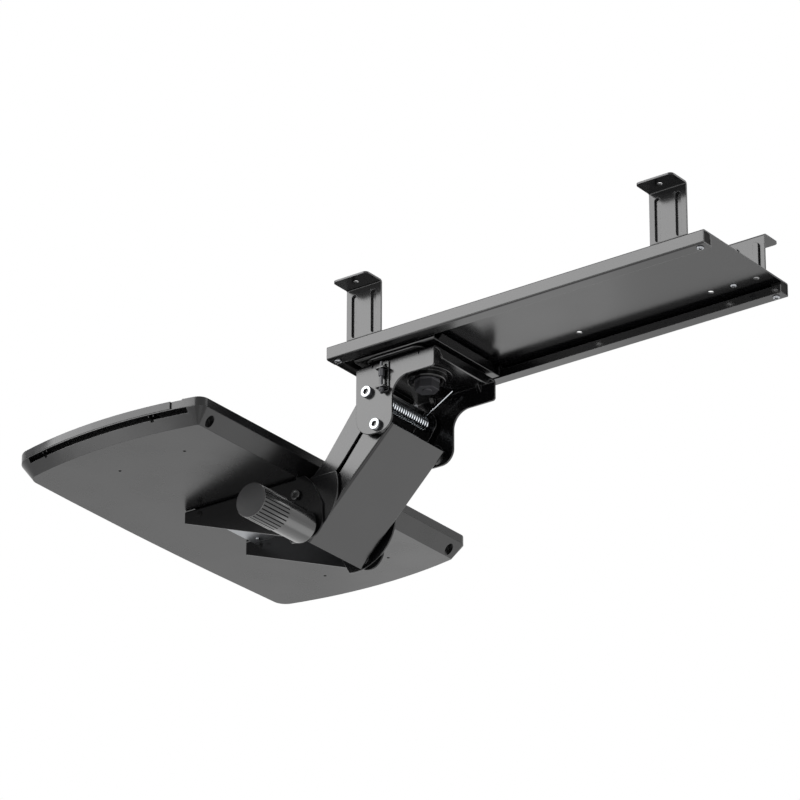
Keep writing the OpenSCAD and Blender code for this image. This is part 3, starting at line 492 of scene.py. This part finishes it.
def turned(name: str, rings: list[tuple[float, float]], sides: int = 48) -> bpy.types.Object:
    """Makes a closed turned piece along Z by extruding and resizing a disc.

    Args:
        name: the piece's name.
        rings: radius and height of each ring in millimetres, from one end to the other.
        sides: number of sides.

    Returns:
        The piece, with its axis on Z.
    """
    radius, height = rings[0]
    deselect()
    bpy.ops.mesh.primitive_circle_add(
        vertices=sides, radius=radius * MM, fill_type="NGON", location=(0, 0, height * MM)
    )
    piece = bpy.context.object
    piece.name = name
    apply_place()
    bpy.ops.object.mode_set(mode="EDIT")
    for wide, high in rings[1:]:
        lift = {"value": (0, 0, (high - height) * MM)}
        bpy.ops.mesh.extrude_region_move(TRANSFORM_OT_translate=lift)
        grow = wide / radius
        bpy.ops.transform.resize(value=(grow, grow, 1), center_override=(0, 0, high * MM))
        radius, height = wide, high
    bpy.ops.mesh.select_all(action="SELECT")
    bpy.ops.mesh.normals_make_consistent(inside=False)
    bpy.ops.object.mode_set(mode="OBJECT")
    return piece


def cut(piece: bpy.types.Object, tool: bpy.types.Object, finish: Finish) -> None:
    """Takes a tool's shape out of a piece and leaves the tool's finish on the new walls.

    Args:
        piece: the piece.
        tool: the closed shape to take out, removed afterwards.
        finish: finish of the walls that it leaves.
    """
    dress(tool, finish)
    activate(piece)
    taken = piece.modifiers.new("cut", "BOOLEAN")
    taken.operation = "DIFFERENCE"
    taken.solver = "EXACT"
    taken.material_mode = "TRANSFER"
    taken.object = tool
    bpy.ops.object.modifier_apply(modifier=taken.name)
    bpy.data.objects.remove(tool)


def stand(piece: bpy.types.Object, at: Vector, facing: Facing) -> None:
    """Turns a piece from Z to its facing, moves it to its place and applies both.

    Args:
        piece: the piece, modelled at the origin.
        at: its place in metres.
        facing: where its axis points.
    """
    turn = Vector((0, 0, 1)).rotation_difference(Vector(facing.value))
    piece.matrix_world = Matrix.Translation(at) @ turn.to_matrix().to_4x4()
    activate(piece)
    apply_place()


def report(piece: bpy.types.Object) -> None:
    """Reports a finished piece and how many faces it has."""
    log.info("piece %s: %d faces", piece.name, len(piece.data.polygons))


def enlist(piece: bpy.types.Object, node: str) -> None:
    """Puts a piece on its node's body, hides the node and reports the piece.

    Args:
        piece: the finished piece.
        node: the CAD node that it stands for.
    """
    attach(piece, frame["nodes"][node]["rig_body"])
    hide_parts(node)
    report(piece)


def add_moulding(piece: bpy.types.Object, body: str) -> None:
    """Puts a rubber moulding that has no solid of its own on a body and reports it.

    Args:
        piece: the finished piece.
        body: the body that it rides on.
    """
    dress(piece, RUBBER)
    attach(piece, body)
    report(piece)


def loose_boxes(node: str) -> list[Corners]:
    """Measures each separate solid of a node.

    Args:
        node: the node's name.

    Returns:
        Lowest and highest corner of each solid, in metres.
    """
    probe = set_out("probe", frame["nodes"][node].data.copy())
    with opened(probe):
        bpy.ops.mesh.remove_doubles(threshold=MERGE)
        bpy.ops.mesh.separate(type="LOOSE")
    boxes = []
    for part in list(bpy.context.selected_objects):
        spots = [v.co for v in part.data.vertices]
        low = Vector([min(s[k] for s in spots) for k in range(3)])
        high = Vector([max(s[k] for s in spots) for k in range(3)])
        boxes.append((low, high))
        bpy.data.objects.remove(part)
    return sorted(boxes, key=lambda box: tuple(round(c / MM, 1) for c in box[0]))


def merged_copy(node: str) -> bpy.types.Object:
    """Copies a solid and makes its loose triangles one mesh with whole flat faces.

    Args:
        node: the CAD node.

    Returns:
        The copy.
    """
    piece = set_out(f"{node}_eased", frame["nodes"][node].data.copy())
    with opened(piece):
        bpy.ops.mesh.remove_doubles(threshold=MERGE)
        bpy.ops.mesh.dissolve_limited(angle_limit=math.radians(FLAT_DEG))
    return piece


def complete(piece: bpy.types.Object, node: str, finish: Finish, edge_mm: float) -> None:
    """Eases and dresses a copy and lets it stand for its node.

    Args:
        piece: the merged copy.
        node: the CAD node.
        finish: its finish.
        edge_mm: width of its eased edges.
    """
    ease(piece, edge_mm)
    dress(piece, finish)
    enlist(piece, node)


@dataclass(frozen=True)
class Fastener:
    """Base of the screws and pins: a node whose solids are modelled again with their heads."""

    node: str
    shank_mm: float
    head_mm: float
    rise_mm: float


@dataclass(frozen=True)
class PanScrews(Fastener):
    """Screws that point up, each with a domed head and a cross recess."""

    shine: Finish = NICKEL
    recess: Finish = OXIDE
    chamfer_mm: float = 0.6
    edge_mm: float = 0.08
    sides: int = 32
    tip: float = 0.6  # the tip's radius, as a share of the shank's
    under: float = 0.96  # the head's radius underneath, as a share of its widest
    # radius and height of the dome's rings, as shares of the head's radius and rise
    dome: Profile = ((1.0, 0.15), (0.97, 0.45), (0.86, 0.75), (0.64, 0.94), (0.45, 1.0))
    # the recess is two crossed bars: length and width as shares of the head's width, and
    # height as a share of its rise, half of it below the top
    bar: tuple[float, float] = (0.62, 0.16)
    bar_height: float = 1.1

    def build(self) -> None:
        """Makes one screw and copies it to the node's other places."""
        boxes = loose_boxes(self.node)
        first = self.build_screw(boxes[0])
        for k, box in enumerate(boxes[1:], 2):
            twin = set_out(f"{self.node}_{k}", first.data.copy())
            twin.data.transform(Matrix.Translation(box[0] - boxes[0][0]))
            enlist(twin, self.node)
        enlist(first, self.node)

    def build_screw(self, box: Corners) -> bpy.types.Object:
        """Models the screw, cuts its recess and stands it in its place.

        Args:
            box: lowest and highest corner of the solid.

        Returns:
            The screw.
        """
        low, high = box
        head, rise, shank = self.head_mm, self.rise_mm, self.shank_mm
        length = (high.z - low.z) / MM - rise
        rings = [
            (shank * self.tip, -length), (shank, -length + self.chamfer_mm), (shank, 0),
            (head * self.under, 0),
        ]
        rings += [(head * wide, rise * tall) for wide, tall in self.dome]
        screw = turned(f"{self.node}_1", rings, self.sides)
        dress(screw, self.shine)
        for wide, deep in (self.bar, self.bar[::-1]):
            deselect()
            bpy.ops.mesh.primitive_cube_add(size=1, location=(0, 0, rise * MM))
            size = (wide * 2 * head * MM, deep * 2 * head * MM, self.bar_height * rise * MM)
            bpy.ops.transform.resize(value=size)
            apply_place()
            cut(screw, bpy.context.object, self.recess)
        ease(screw, self.edge_mm)
        seat = Vector(((low.x + high.x) / 2, (low.y + high.y) / 2, low.z + rise * MM))
        stand(screw, seat, Facing.DOWN)
        return screw


@dataclass(frozen=True)
class SocketPin(Fastener):
    """A pin across the arms with a round head and a hexagon socket at each end."""

    socket_mm: float
    depth_mm: float
    ring: Finish = NICKEL
    well: Finish = POWDER_COAT
    edge_mm: float = 0.12
    # share of the head's radius, and millimetres out from its seat
    under: Profile = ((0.97, 0.0), (1.0, 0.3))
    # share of the head's radius, and millimetres back from its face
    crown: Profile = ((1.0, 0.9), (0.97, 0.35), (0.9, 0.0))
    # share of the socket's radius, and millimetres back from the face
    mouth: Profile = ((1.3, 0.0), (1.16, 0.4))

    def build(self) -> None:
        """Models each half with its head and stands it in its place."""
        for k, (low, high) in enumerate(loose_boxes(self.node)):
            middle = (low + high) / 2
            whole = low.x < 0 < high.x
            for facing in (Facing.RIGHT, Facing.LEFT):
                if not whole and facing.value[0] * middle.x < 0:
                    continue
                inner = 0.0 if whole else min(abs(low.x), abs(high.x))
                outer = max(abs(low.x), abs(high.x))
                name = f"{self.node}_{facing.name.lower()}_{k}"
                pin = self.build_half(name, inner / MM, outer / MM)
                stand(pin, Vector((0, middle.y, middle.z)), facing)
                enlist(pin, self.node)

    def build_half(self, name: str, inner: float, outer: float) -> bpy.types.Object:
        """Models one half from its inner to its outer end.

        Args:
            name: the piece's name.
            inner: where it starts along its axis, in millimetres.
            outer: where its head ends.

        Returns:
            The half, along Z.
        """
        shank, head, socket = self.shank_mm, self.head_mm, self.socket_mm
        seat = outer - self.rise_mm
        rings = [(shank, inner), (shank, seat)]
        rings += [(head * wide, seat + out) for wide, out in self.under]
        rings += [(head * wide, outer - back) for wide, back in self.crown]
        rings += [(socket * wide, outer - back) for wide, back in self.mouth]
        pin = turned(name, rings)
        dress(pin, self.ring)
        deselect()
        bpy.ops.mesh.primitive_cylinder_add(
            vertices=6, radius=socket * MM, depth=2 * self.depth_mm * MM,
            location=(0, 0, outer * MM),
        )
        apply_place()
        cut(pin, bpy.context.object, self.well)
        ease(pin, self.edge_mm)
        return pin


@dataclass
class SubAssembly:
    """Base of the sub-assemblies: most of their solids are right and only their edges are eased."""

    edge_mm: float = 0.7

    def ease_solids(self, *nodes: str, finish: Finish | None = None) -> None:
        """Makes an eased copy of each solid.

        Args:
            nodes: the CAD nodes.
            finish: their finish, or None for the one of each node's slot.
        """
        for node in nodes:
            chosen = finish or FINISH_OF[SLOT_OF[node]]
            complete(merged_copy(node), node, chosen, self.edge_mm)

    def build(self) -> None:
        """Builds and dresses the sub-assembly's pieces."""
        raise NotImplementedError


@dataclass
class Rail(SubAssembly):
    """Channel under the desk, with hangers, end stops, the bar between them and screws."""

    stem_inset_mm: float = 6.0  # from the channel's side in to a hanger's stem
    sheet_mm: float = 2.5  # the hangers' sheet
    groove_mm: float = 1.2  # how deep their grooves are in the solid
    deeper_mm: float = 1.7  # and how much deeper they are pressed here
    bar_half_mm: float = 76.7  # half of the front bar's length
    bar_gap_mm: float = 0.6  # from the channel's front end back to the bar
    bar_depth_mm: float = 13.2
    bar_drop_mm: float = 2.3  # from the channel's top down to the bar's
    bar_rim_mm: float = 3.0  # rim round the recess underneath
    bar_recess_mm: float = 0.8
    bar_edge_mm: float = 0.8
    screws: tuple[PanScrews, ...] = (
        PanScrews("hanger_screws", shank_mm=2.5, head_mm=4.54, rise_mm=2.4),
        PanScrews("stop_screws", shank_mm=1.9, head_mm=4.7, rise_mm=2.47),
    )

    def build(self) -> None:
        """Builds the channel and all that is fixed to it."""
        self.ease_solids("track", "hanger_nuts")
        for corner in ("front_right", "front_left", "back_right", "back_left"):
            self.build_hanger(f"hanger_{corner}")
            self.ease_solids(f"stop_{corner}", finish=RUBBER)
        self.build_bar()
        for screws in self.screws:
            screws.build()

    def build_hanger(self, node: str) -> None:
        """Presses a hanger's two grooves as deep as the real ones, on both faces of the sheet.

        Args:
            node: the hanger's CAD node.
        """
        piece = merged_copy(node)
        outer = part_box("track")[1].x - self.stem_inset_mm * MM
        floor = outer - self.groove_mm * MM
        back = floor - self.sheet_mm * MM
        for spot in piece.data.vertices:
            if min(abs(abs(spot.co.x) - floor), abs(abs(spot.co.x) - back)) < MERGE:
                spot.co.x -= math.copysign(self.deeper_mm * MM, spot.co.x)
        complete(piece, node, POWDER_COAT, self.edge_mm)

    def build_bar(self) -> None:
        """Shapes the bar across the front end, with a shallow recess underneath."""
        low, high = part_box("track")
        tall = (high.z - low.z) / MM - self.bar_drop_mm
        size = Vector((2 * self.bar_half_mm, self.bar_depth_mm, tall)) * MM
        front = low.y + self.bar_gap_mm * MM
        middle = Vector((0, front + size.y / 2, low.z + size.z / 2))
        deselect()
        bpy.ops.mesh.primitive_cube_add(size=1.0, location=middle, scale=size)
        bar = bpy.context.object
        bar.name = "front_bar_moulded"
        apply_place()
        with opened_facing_down(bar, 0.0):
            bpy.ops.mesh.inset(thickness=self.bar_rim_mm * MM)
            lift = {"value": (0, 0, self.bar_recess_mm * MM)}
            bpy.ops.mesh.extrude_region_move(TRANSFORM_OT_translate=lift)
        ease(bar, self.bar_edge_mm)
        add_moulding(bar, "rail")


@dataclass
class Carriage(SubAssembly):
    """Plate that slides in the rail on four glides, with the swivel's bolt, nut and disc."""

    def build(self) -> None:
        """Builds the plate, its glides and the swivel's fastening."""
        self.ease_solids("carriage_plate", "slip_disc")
        self.ease_solids("glide_front_right", "glide_front_left")
        self.ease_solids("glide_back_right", "glide_back_left")
        self.ease_solids("swivel_bolt", "swivel_nut", finish=PHOSPHATE)


@dataclass(frozen=True)
class TorsionSpring:
    """One wire wound round the upper pin, with a straight leg at each end."""

    turns: int = 23
    length_mm: float = 106.0
    radius_mm: float = 7.8  # of the coil, to the middle of the wire
    wire_mm: float = 1.1  # the wire's radius
    axis_mm: tuple[float, float] = (-240.0, -140.5)  # Y and Z of the upper pin
    start_deg: float = 120.0  # where on the coil the mount's leg leaves it
    end_deg: float = 134.5  # and the arm's
    arm_leg_mm: float = 32.0
    steps: int = 20  # points in a turn
    leg_points: tuple[float, ...] = (0.15, 0.5, 1.0)  # shares of a leg, out from the coil
    smooth_deg: float = 50.0
    merge_mm: float = 0.001

    def wound(self) -> float:
        """Gives the angle from one leg to the other, in radians."""
        return math.radians(360 * self.turns + self.end_deg - self.start_deg)

    def on_coil(self, turn: float) -> Vector:
        """Finds the wire's place after it has wound a given angle.

        Args:
            turn: the angle from the mount's leg, in radians.

        Returns:
            The place on the wire's centre line, in millimetres.
        """
        y0, z0 = self.axis_mm
        x = self.length_mm * turn / self.wound() - self.length_mm / 2
        a = math.radians(self.start_deg) + turn
        return Vector((x, y0 + self.radius_mm * math.cos(a), z0 + self.radius_mm * math.sin(a)))

    def along(self, turn: float) -> Vector:
        """Finds the wire's direction after it has wound a given angle.

        Args:
            turn: the angle from the mount's leg, in radians.

        Returns:
            The direction across the coil's axis, of length 1.
        """
        a = math.radians(self.start_deg) + turn
        return Vector((0, -math.sin(a), math.cos(a)))

    def route(self) -> list[Vector]:
        """Follows the wire from the mount's leg to the arm's.

        Returns:
            Points of the wire's centre line, in metres.
        """
        total = self.wound()
        count = self.steps * self.turns
        first, onward = self.on_coil(0), self.along(0)
        last, outward = self.on_coil(total), self.along(total)
        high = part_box("torsion_spring")[1].z / MM
        mount_leg = (high - self.wire_mm - first.z) / abs(onward.z)
        points = [first - onward * mount_leg * f for f in reversed(self.leg_points)]
        points += [self.on_coil(total * k / count) for k in range(count + 1)]
        points += [last + outward * self.arm_leg_mm * f for f in self.leg_points]
        return [point * MM for point in points]

    def build(self) -> None:
        """Draws the wire and makes it a mesh in place of the spring's solid."""
        points = self.route()
        deselect()
        bpy.ops.curve.primitive_nurbs_path_add()
        spring = bpy.context.object
        spring.name = "torsion_spring_wire"
        line = spring.data
        line.splines.clear()
        wire = line.splines.new("POLY")
        wire.points.add(len(points) - 1)
        for spot, point in zip(wire.points, points):
            spot.co = (*point, 1.0)
        line.bevel_depth = self.wire_mm * MM
        line.bevel_resolution = 3
        line.use_fill_caps = True
        bpy.ops.object.convert(target="MESH")
        with opened(spring):
            bpy.ops.mesh.remove_doubles(threshold=self.merge_mm * MM)
            bpy.ops.mesh.normals_make_consistent(inside=False)
        bpy.ops.object.shade_smooth_by_angle(angle=math.radians(self.smooth_deg))
        dress(spring, WIRE)
        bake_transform(spring)
        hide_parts("torsion_spring")
        report(spring)


@dataclass
class Mount(SubAssembly):
    """Swivel plate and two-cheeked bracket, with the arms' pins, the spring and the height stop."""

    upper_pin: SocketPin = SocketPin(
        "upper_pin", shank_mm=4.0, head_mm=7.8, rise_mm=5.6, socket_mm=4.3, depth_mm=3.0
    )
    lower_pin: SocketPin = replace(upper_pin, node="lower_pin")
    spring: TorsionSpring = TorsionSpring()

    def build(self) -> None:
        """Builds the bracket and what it carries."""
        self.ease_solids("swivel_plate", "mount_bracket", "swivel_collar", "stop_bracket")
        self.ease_solids("upper_spacers", "lower_spacers")
        self.ease_solids("stop_bolt", finish=PHOSPHATE)
        for part in (self.upper_pin, self.lower_pin, self.spring):
            part.build()


@dataclass
class Arms(SubAssembly):
    """The two folded channels that lift the tray, one inside the other."""

    def build(self) -> None:
        """Builds the lower arm, which is the cover in front, and the upper arm in it."""
        self.ease_solids("lower_arm", "upper_arm")


@dataclass
class Head(SubAssembly):
    """Bracket with round ears at the arms' end, with the tilt's pins, shaft and washers."""

    pins: SocketPin = SocketPin(
        "tilt_pins", shank_mm=4.0, head_mm=7.0, rise_mm=4.0, socket_mm=3.3, depth_mm=2.4,
        ring=OXIDE,
    )

    def build(self) -> None:
        """Builds the bracket and what the tray tilts on."""
        self.ease_solids("head_bracket", "head_washers", "knob_washer")
        self.ease_solids("tilt_shaft", finish=ZINC)
        self.pins.build()


@dataclass
class Knob(SubAssembly):
    """Clamp knob on the tilt shaft: a fluted grip on a smooth barrel."""

    edge_mm: float = 0.5
    ribs: int = 28
    sides_per_rib: int = 6
    groove_side: int = 4  # the one corner in each rib's six that is pushed in
    groove_mm: float = 1.6
    rim_mm: float = 1.8  # the smooth rim at the outer end
    wall_mm: float = 4.85  # from the outside in to the bore
    bore_end_mm: float = 3.0  # from the bore's floor to the outer end
    chamfer_mm: float = 0.5
    shoulder_mm: float = 0.4
    # the rounded end's rings: millimetres inside the grip's radius, and back from its end
    crown: Profile = ((0.2, 0.7), (0.5, 0.2), (1.0, 0.0))
    crest: float = 0.3  # share of a groove's depth that counts as its crest
    slack_mm: float = 0.1
    smooth_deg: float = 28.0

    def build(self) -> None:
        """Builds the grip over its solid and eases the barrel."""
        self.ease_solids("knob_barrel")
        low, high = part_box("knob_grip")
        centre = (low + high) / 2
        radius = (high.z - low.z) / 2 / MM
        length = (high.x - low.x) / MM
        grip = self.build_grip(radius, length)
        stand(grip, Vector((low.x, centre.y, centre.z)), Facing.RIGHT)
        enlist(grip, "knob_grip")

    def build_grip(self, radius: float, length: float) -> bpy.types.Object:
        """Models the grip: fluted side, rounded end and a bore for the barrel.

        Args:
            radius: outer radius in millimetres.
            length: its length.

        Returns:
            The grip, along Z.
        """
        rim = length - self.rim_mm
        rings = [
            (radius - self.chamfer_mm, 0), (radius, self.chamfer_mm), (radius, rim),
            (radius - self.crown[0][0], rim + self.shoulder_mm),
        ]
        rings += [(radius - inside, length - back) for inside, back in self.crown]
        grip = turned("knob_grip_fluted", rings, self.sides_per_rib * self.ribs)
        self.press_grooves(grip, rim)
        with opened_facing_down(grip, self.slack_mm):
            bpy.ops.mesh.inset(thickness=self.wall_mm * MM)
            bore = {"value": (0, 0, (length - self.bore_end_mm) * MM)}
            bpy.ops.mesh.extrude_region_move(TRANSFORM_OT_translate=bore)
        bpy.ops.object.shade_smooth_by_angle(angle=math.radians(self.smooth_deg))
        self.dress_grip(grip, radius)
        return grip

    def press_grooves(self, grip: bpy.types.Object, rim: float) -> None:
        """Pushes one corner of each rib inwards, up to the rim.

        Args:
            grip: the grip, still round.
            rim: where the grooves end, in millimetres along Z.
        """
        for spot in grip.data.vertices:
            if spot.co.z > (rim + self.slack_mm) * MM:
                continue
            turns = math.atan2(spot.co.y, spot.co.x) / math.tau
            corner = round(turns * self.sides_per_rib * self.ribs) % self.sides_per_rib
            if corner != self.groove_side:
                continue
            wide = Vector((spot.co.x, spot.co.y)).length
            spot.co.x *= 1 - self.groove_mm * MM / wide
            spot.co.y *= 1 - self.groove_mm * MM / wide

    def dress_grip(self, grip: bpy.types.Object, radius: float) -> None:
        """Leaves the grooves and the end face matt between the polished crests.

        Args:
            grip: the fluted grip, along Z.
            radius: its outer radius in millimetres.
        """
        dress(grip, GLOSS_ABS)
        grip.data.materials.append(SOFT_TOUCH.material())
        outer = (radius - self.crest * self.groove_mm) * MM
        inner = (radius - self.wall_mm) * MM
        for face in grip.data.polygons:
            in_groove = inner < Vector((face.center.x, face.center.y)).length < outer
            if face.normal.z > ALONG or (in_groove and abs(face.normal.z) < ACROSS):
                face.material_index = 1


@dataclass
class Tray(SubAssembly):
    """Tray of two shells with trimmed ends, its base plate, two wings and their plugs."""

    tip_mm: float = 5.0  # the step in the solid's front tip
    tip_reach_mm: float = 0.05
    plug_mm: float = 3.0  # the plug's radius
    plug_flange_mm: float = 4.2  # and its flange's
    plug_back_mm: float = 24.0  # back from the wing's front
    plug_drop_mm: float = 10.0  # down from the tray's underside
    plug_sides: int = 32
    # share of the plug's radius, and millimetres out from the wing's face
    plug_clip: Profile = ((0.9, -3.4), (1.1, -2.8), (0.96, -2.4), (0.96, 0.0))
    # share of its flange's radius, and millimetres out from the wing's face
    plug_cap: Profile = ((1.0, 0.1), (1.0, 0.5), (0.8, 0.9), (0.45, 1.1))
    smooth_deg: float = 50.0
    screws: tuple[PanScrews, ...] = (
        PanScrews("plate_screws", shank_mm=1.8, head_mm=2.68, rise_mm=1.2),
        PanScrews("tray_screws", shank_mm=1.4, head_mm=1.95, rise_mm=1.8, shine=OXIDE),
    )

    def build(self) -> None:
        """Builds the tray, its bracket and their screws."""
        for node, facing in (("wing_right", Facing.RIGHT), ("wing_left", Facing.LEFT)):
            self.build_wing(node)
            self.build_plug(node, facing)
        # the base plate is pale zinc, which also stands in for a painted highlight across it
        self.ease_solids("base_plate", finish=ZINC)
        self.ease_solids("tray_bottom", "tray_top", "end_trim_right", "end_trim_left")
        for screws in self.screws:
            screws.build()

    def build_wing(self, node: str) -> None:
        """Brings a wing's stepped front tip forward to one edge that runs up to the tray.

        Args:
            node: the wing's CAD node.
        """
        piece = merged_copy(node)
        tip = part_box(node)[0].y
        for spot in piece.data.vertices:
            if abs(spot.co.y - tip - self.tip_mm * MM) < self.tip_reach_mm * MM:
                spot.co.y = tip
        with opened(piece):
            bpy.ops.mesh.remove_doubles(threshold=MERGE)
            bpy.ops.mesh.dissolve_degenerate(threshold=MERGE)
        # the wings take the darker coat, whose colour paints in the shade under the tray
        complete(piece, node, SHADED_POWDER_COAT, self.edge_mm)

    def build_plug(self, node: str, facing: Facing) -> None:
        """Models the push-in plug in the hole at a wing's front.

        Args:
            node: the wing's CAD node.
            facing: the side that the wing is on.
        """
        low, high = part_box(node)
        outer = max(abs(low.x), abs(high.x)) / MM
        rings = [(self.plug_mm * wide, outer + out) for wide, out in self.plug_clip]
        rings += [(self.plug_flange_mm * wide, outer + out) for wide, out in self.plug_cap]
        plug = turned(f"{node}_plug", rings, self.plug_sides)
        bpy.ops.object.shade_smooth_by_angle(angle=math.radians(self.smooth_deg))
        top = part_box("tray_bottom")[0].z - self.plug_drop_mm * MM
        stand(plug, Vector((0, low.y + self.plug_back_mm * MM, top)), facing)
        add_moulding(plug, "tray")


@dataclass(frozen=True)
class Lamp:
    """A square soft lamp: its place and side in metres and its power in watts."""

    name: str
    place: Place
    side: float
    watts: float


@dataclass
class Studio:
    """Pale floor, white surroundings, soft lamps and the photograph's camera."""

    target: Place = (0.01422, -0.22896, -0.13422)
    camera: Place = (4.6534, 3.2125, -2.7718)
    roll_deg: float = 0.1578
    lens_mm: float = 225.37
    sensor_mm: float = 36.0
    clip_end: float = 200.0
    floor_z: float = -8.2
    floor_side: float = 160.0
    floor_glow: float = 0.55  # added where the camera or a gloss sees the floor
    floor_mottle: float = 3.0  # blotches of the floor's white in a metre
    soft_light: float = 0.7  # the world's strength on matt surfaces
    lamps: tuple[Lamp, ...] = (
        Lamp("side_softbox", (2.0, -1.6, 1.0), 2.2, 100.0),
        Lamp("rail_sheen", (-0.86, -0.72, -0.66), 0.4, 0.22),
        Lamp("bevel_fill", (2.2, -2.1, -1.6), 1.6, 22.0),
        Lamp("low_fill", (1.6, 2.2, -2.2), 2.0, 15.0),
        Lamp("cover_fill", (-2.4, 1.1, -2.0), 1.6, 9.0),
        Lamp("back_top", (-1.5, 2.0, 2.2), 2.0, 30.0),
    )

    def build(self) -> None:
        """Sets up the camera, the world, the floor and the lamps."""
        bpy.context.scene.view_settings.view_transform = "Standard"
        self.build_camera()
        self.build_world()
        self.build_floor()
        for lamp in self.lamps:
            self.build_lamp(lamp)

    def build_camera(self) -> None:
        """Places the camera at the photograph's angle."""
        data = bpy.data.cameras.new("camera")
        data.lens = self.lens_mm
        data.sensor_width = self.sensor_mm
        data.clip_end = self.clip_end
        camera = bpy.data.objects.new("camera", data)
        bpy.context.scene.collection.objects.link(camera)
        look = Vector(self.target) - Vector(self.camera)
        turn = look.to_track_quat("-Z", "Y").to_matrix().to_4x4()
        roll = Matrix.Rotation(math.radians(self.roll_deg), 4, "Z")
        camera.matrix_world = Matrix.Translation(self.camera) @ turn @ roll
        bpy.context.scene.camera = camera

    def build_lamp(self, lamp: Lamp) -> None:
        """Adds a lamp that faces the object and stays out of the camera's sight.

        Args:
            lamp: the lamp.
        """
        data = bpy.data.lights.new(lamp.name, "AREA")
        data.shape = "SQUARE"
        data.size = lamp.side
        data.energy = lamp.watts
        light = bpy.data.objects.new(lamp.name, data)
        bpy.context.scene.collection.objects.link(light)
        light.location = lamp.place
        light.visible_camera = False
        look = Vector(self.target) - Vector(lamp.place)
        light.rotation_mode = "QUATERNION"
        light.rotation_quaternion = look.to_track_quat("-Z", "Y")
        log.info("lamp %s", lamp.name)

    def build_world(self) -> None:
        """Lights the scene softly and shows white behind the object and in its gloss."""
        world = bpy.data.worlds.new("studio")
        bpy.context.scene.world = world
        world.use_nodes = True
        tree = world.node_tree
        tree.nodes.clear()
        white = linear("#ffffff")
        soft = add_node(
            tree, "ShaderNodeBackground", {"Color": white, "Strength": self.soft_light}
        )
        bright = add_node(tree, "ShaderNodeBackground", {"Color": white, "Strength": 1.0})
        seen = self.add_rays(tree, "Is Camera Ray", "Is Transmission Ray", "Is Glossy Ray")
        both = add_node(
            tree,
            "ShaderNodeMixShader",
            links={0: seen, 1: soft.outputs[0], 2: bright.outputs[0]},
        )
        add_node(tree, "ShaderNodeOutputWorld", links={"Surface": both.outputs[0]})

    def add_rays(self, tree: bpy.types.NodeTree, first: str, *others: str) -> bpy.types.NodeSocket:
        """Adds a switch that is 1 for any of the named kinds of ray.

        Args:
            tree: the node tree.
            first: a Light Path output.
            others: the other outputs.

        Returns:
            The switch's output.
        """
        path = add_node(tree, "ShaderNodeLightPath")
        seen = path.outputs[first]
        for ray in others:
            either = {0: seen, 1: path.outputs[ray]}
            seen = add_node(tree, "ShaderNodeMath", {"operation": "MAXIMUM"}, either).outputs[0]
        return seen

    def build_floor(self) -> None:
        """Adds the pale floor far below the desk, which glows only where it is looked at."""
        deselect()
        bpy.ops.mesh.primitive_plane_add(size=self.floor_side, location=(0, 0, self.floor_z))
        floor = bpy.context.object
        floor.name = "floor"
        paint = bpy.data.materials.new("matt_white_floor")
        paint.use_nodes = True
        tree = paint.node_tree
        tree.nodes.clear()
        place = add_node(tree, "ShaderNodeTexCoord").outputs["Object"]
        mottle = add_node(
            tree, "ShaderNodeTexNoise", {"Scale": self.floor_mottle}, {"Vector": place}
        )
        tone = add_node(
            tree,
            "ShaderNodeMix",
            {"data_type": "RGBA", 6: linear("#f4f4f4"), 7: linear("#f8f8f8")},
            {0: mottle.outputs[0]},
        )
        matt = add_node(tree, "ShaderNodeBsdfDiffuse", links={"Color": tone.outputs[2]})
        glow = add_node(
            tree,
            "ShaderNodeEmission",
            {"Color": linear("#ffffff"), "Strength": self.floor_glow},
        )
        lit = add_node(
            tree, "ShaderNodeAddShader", links={0: matt.outputs[0], 1: glow.outputs[0]}
        )
        seen = self.add_rays(tree, "Is Camera Ray", "Is Glossy Ray")
        both = add_node(
            tree, "ShaderNodeMixShader", links={0: seen, 1: matt.outputs[0], 2: lit.outputs[0]}
        )
        add_node(tree, "ShaderNodeOutputMaterial", links={"Surface": both.outputs[0]})
        floor.data.materials.append(paint)


def main() -> None:
    """Sets up the studio, dresses the imported solids and builds every sub-assembly."""
    logging.basicConfig(level=logging.INFO, format="%(message)s")
    Studio().build()
    for node, slot in SLOT_OF.items():
        dress(frame["nodes"][node], FINISH_OF[slot])
    for part in (Rail(), Carriage(), Mount(), Arms(), Head(), Knob(), Tray()):
        log.info("sub-assembly %s", type(part).__name__)
        part.build()


if __name__ == "__main__":
    main()
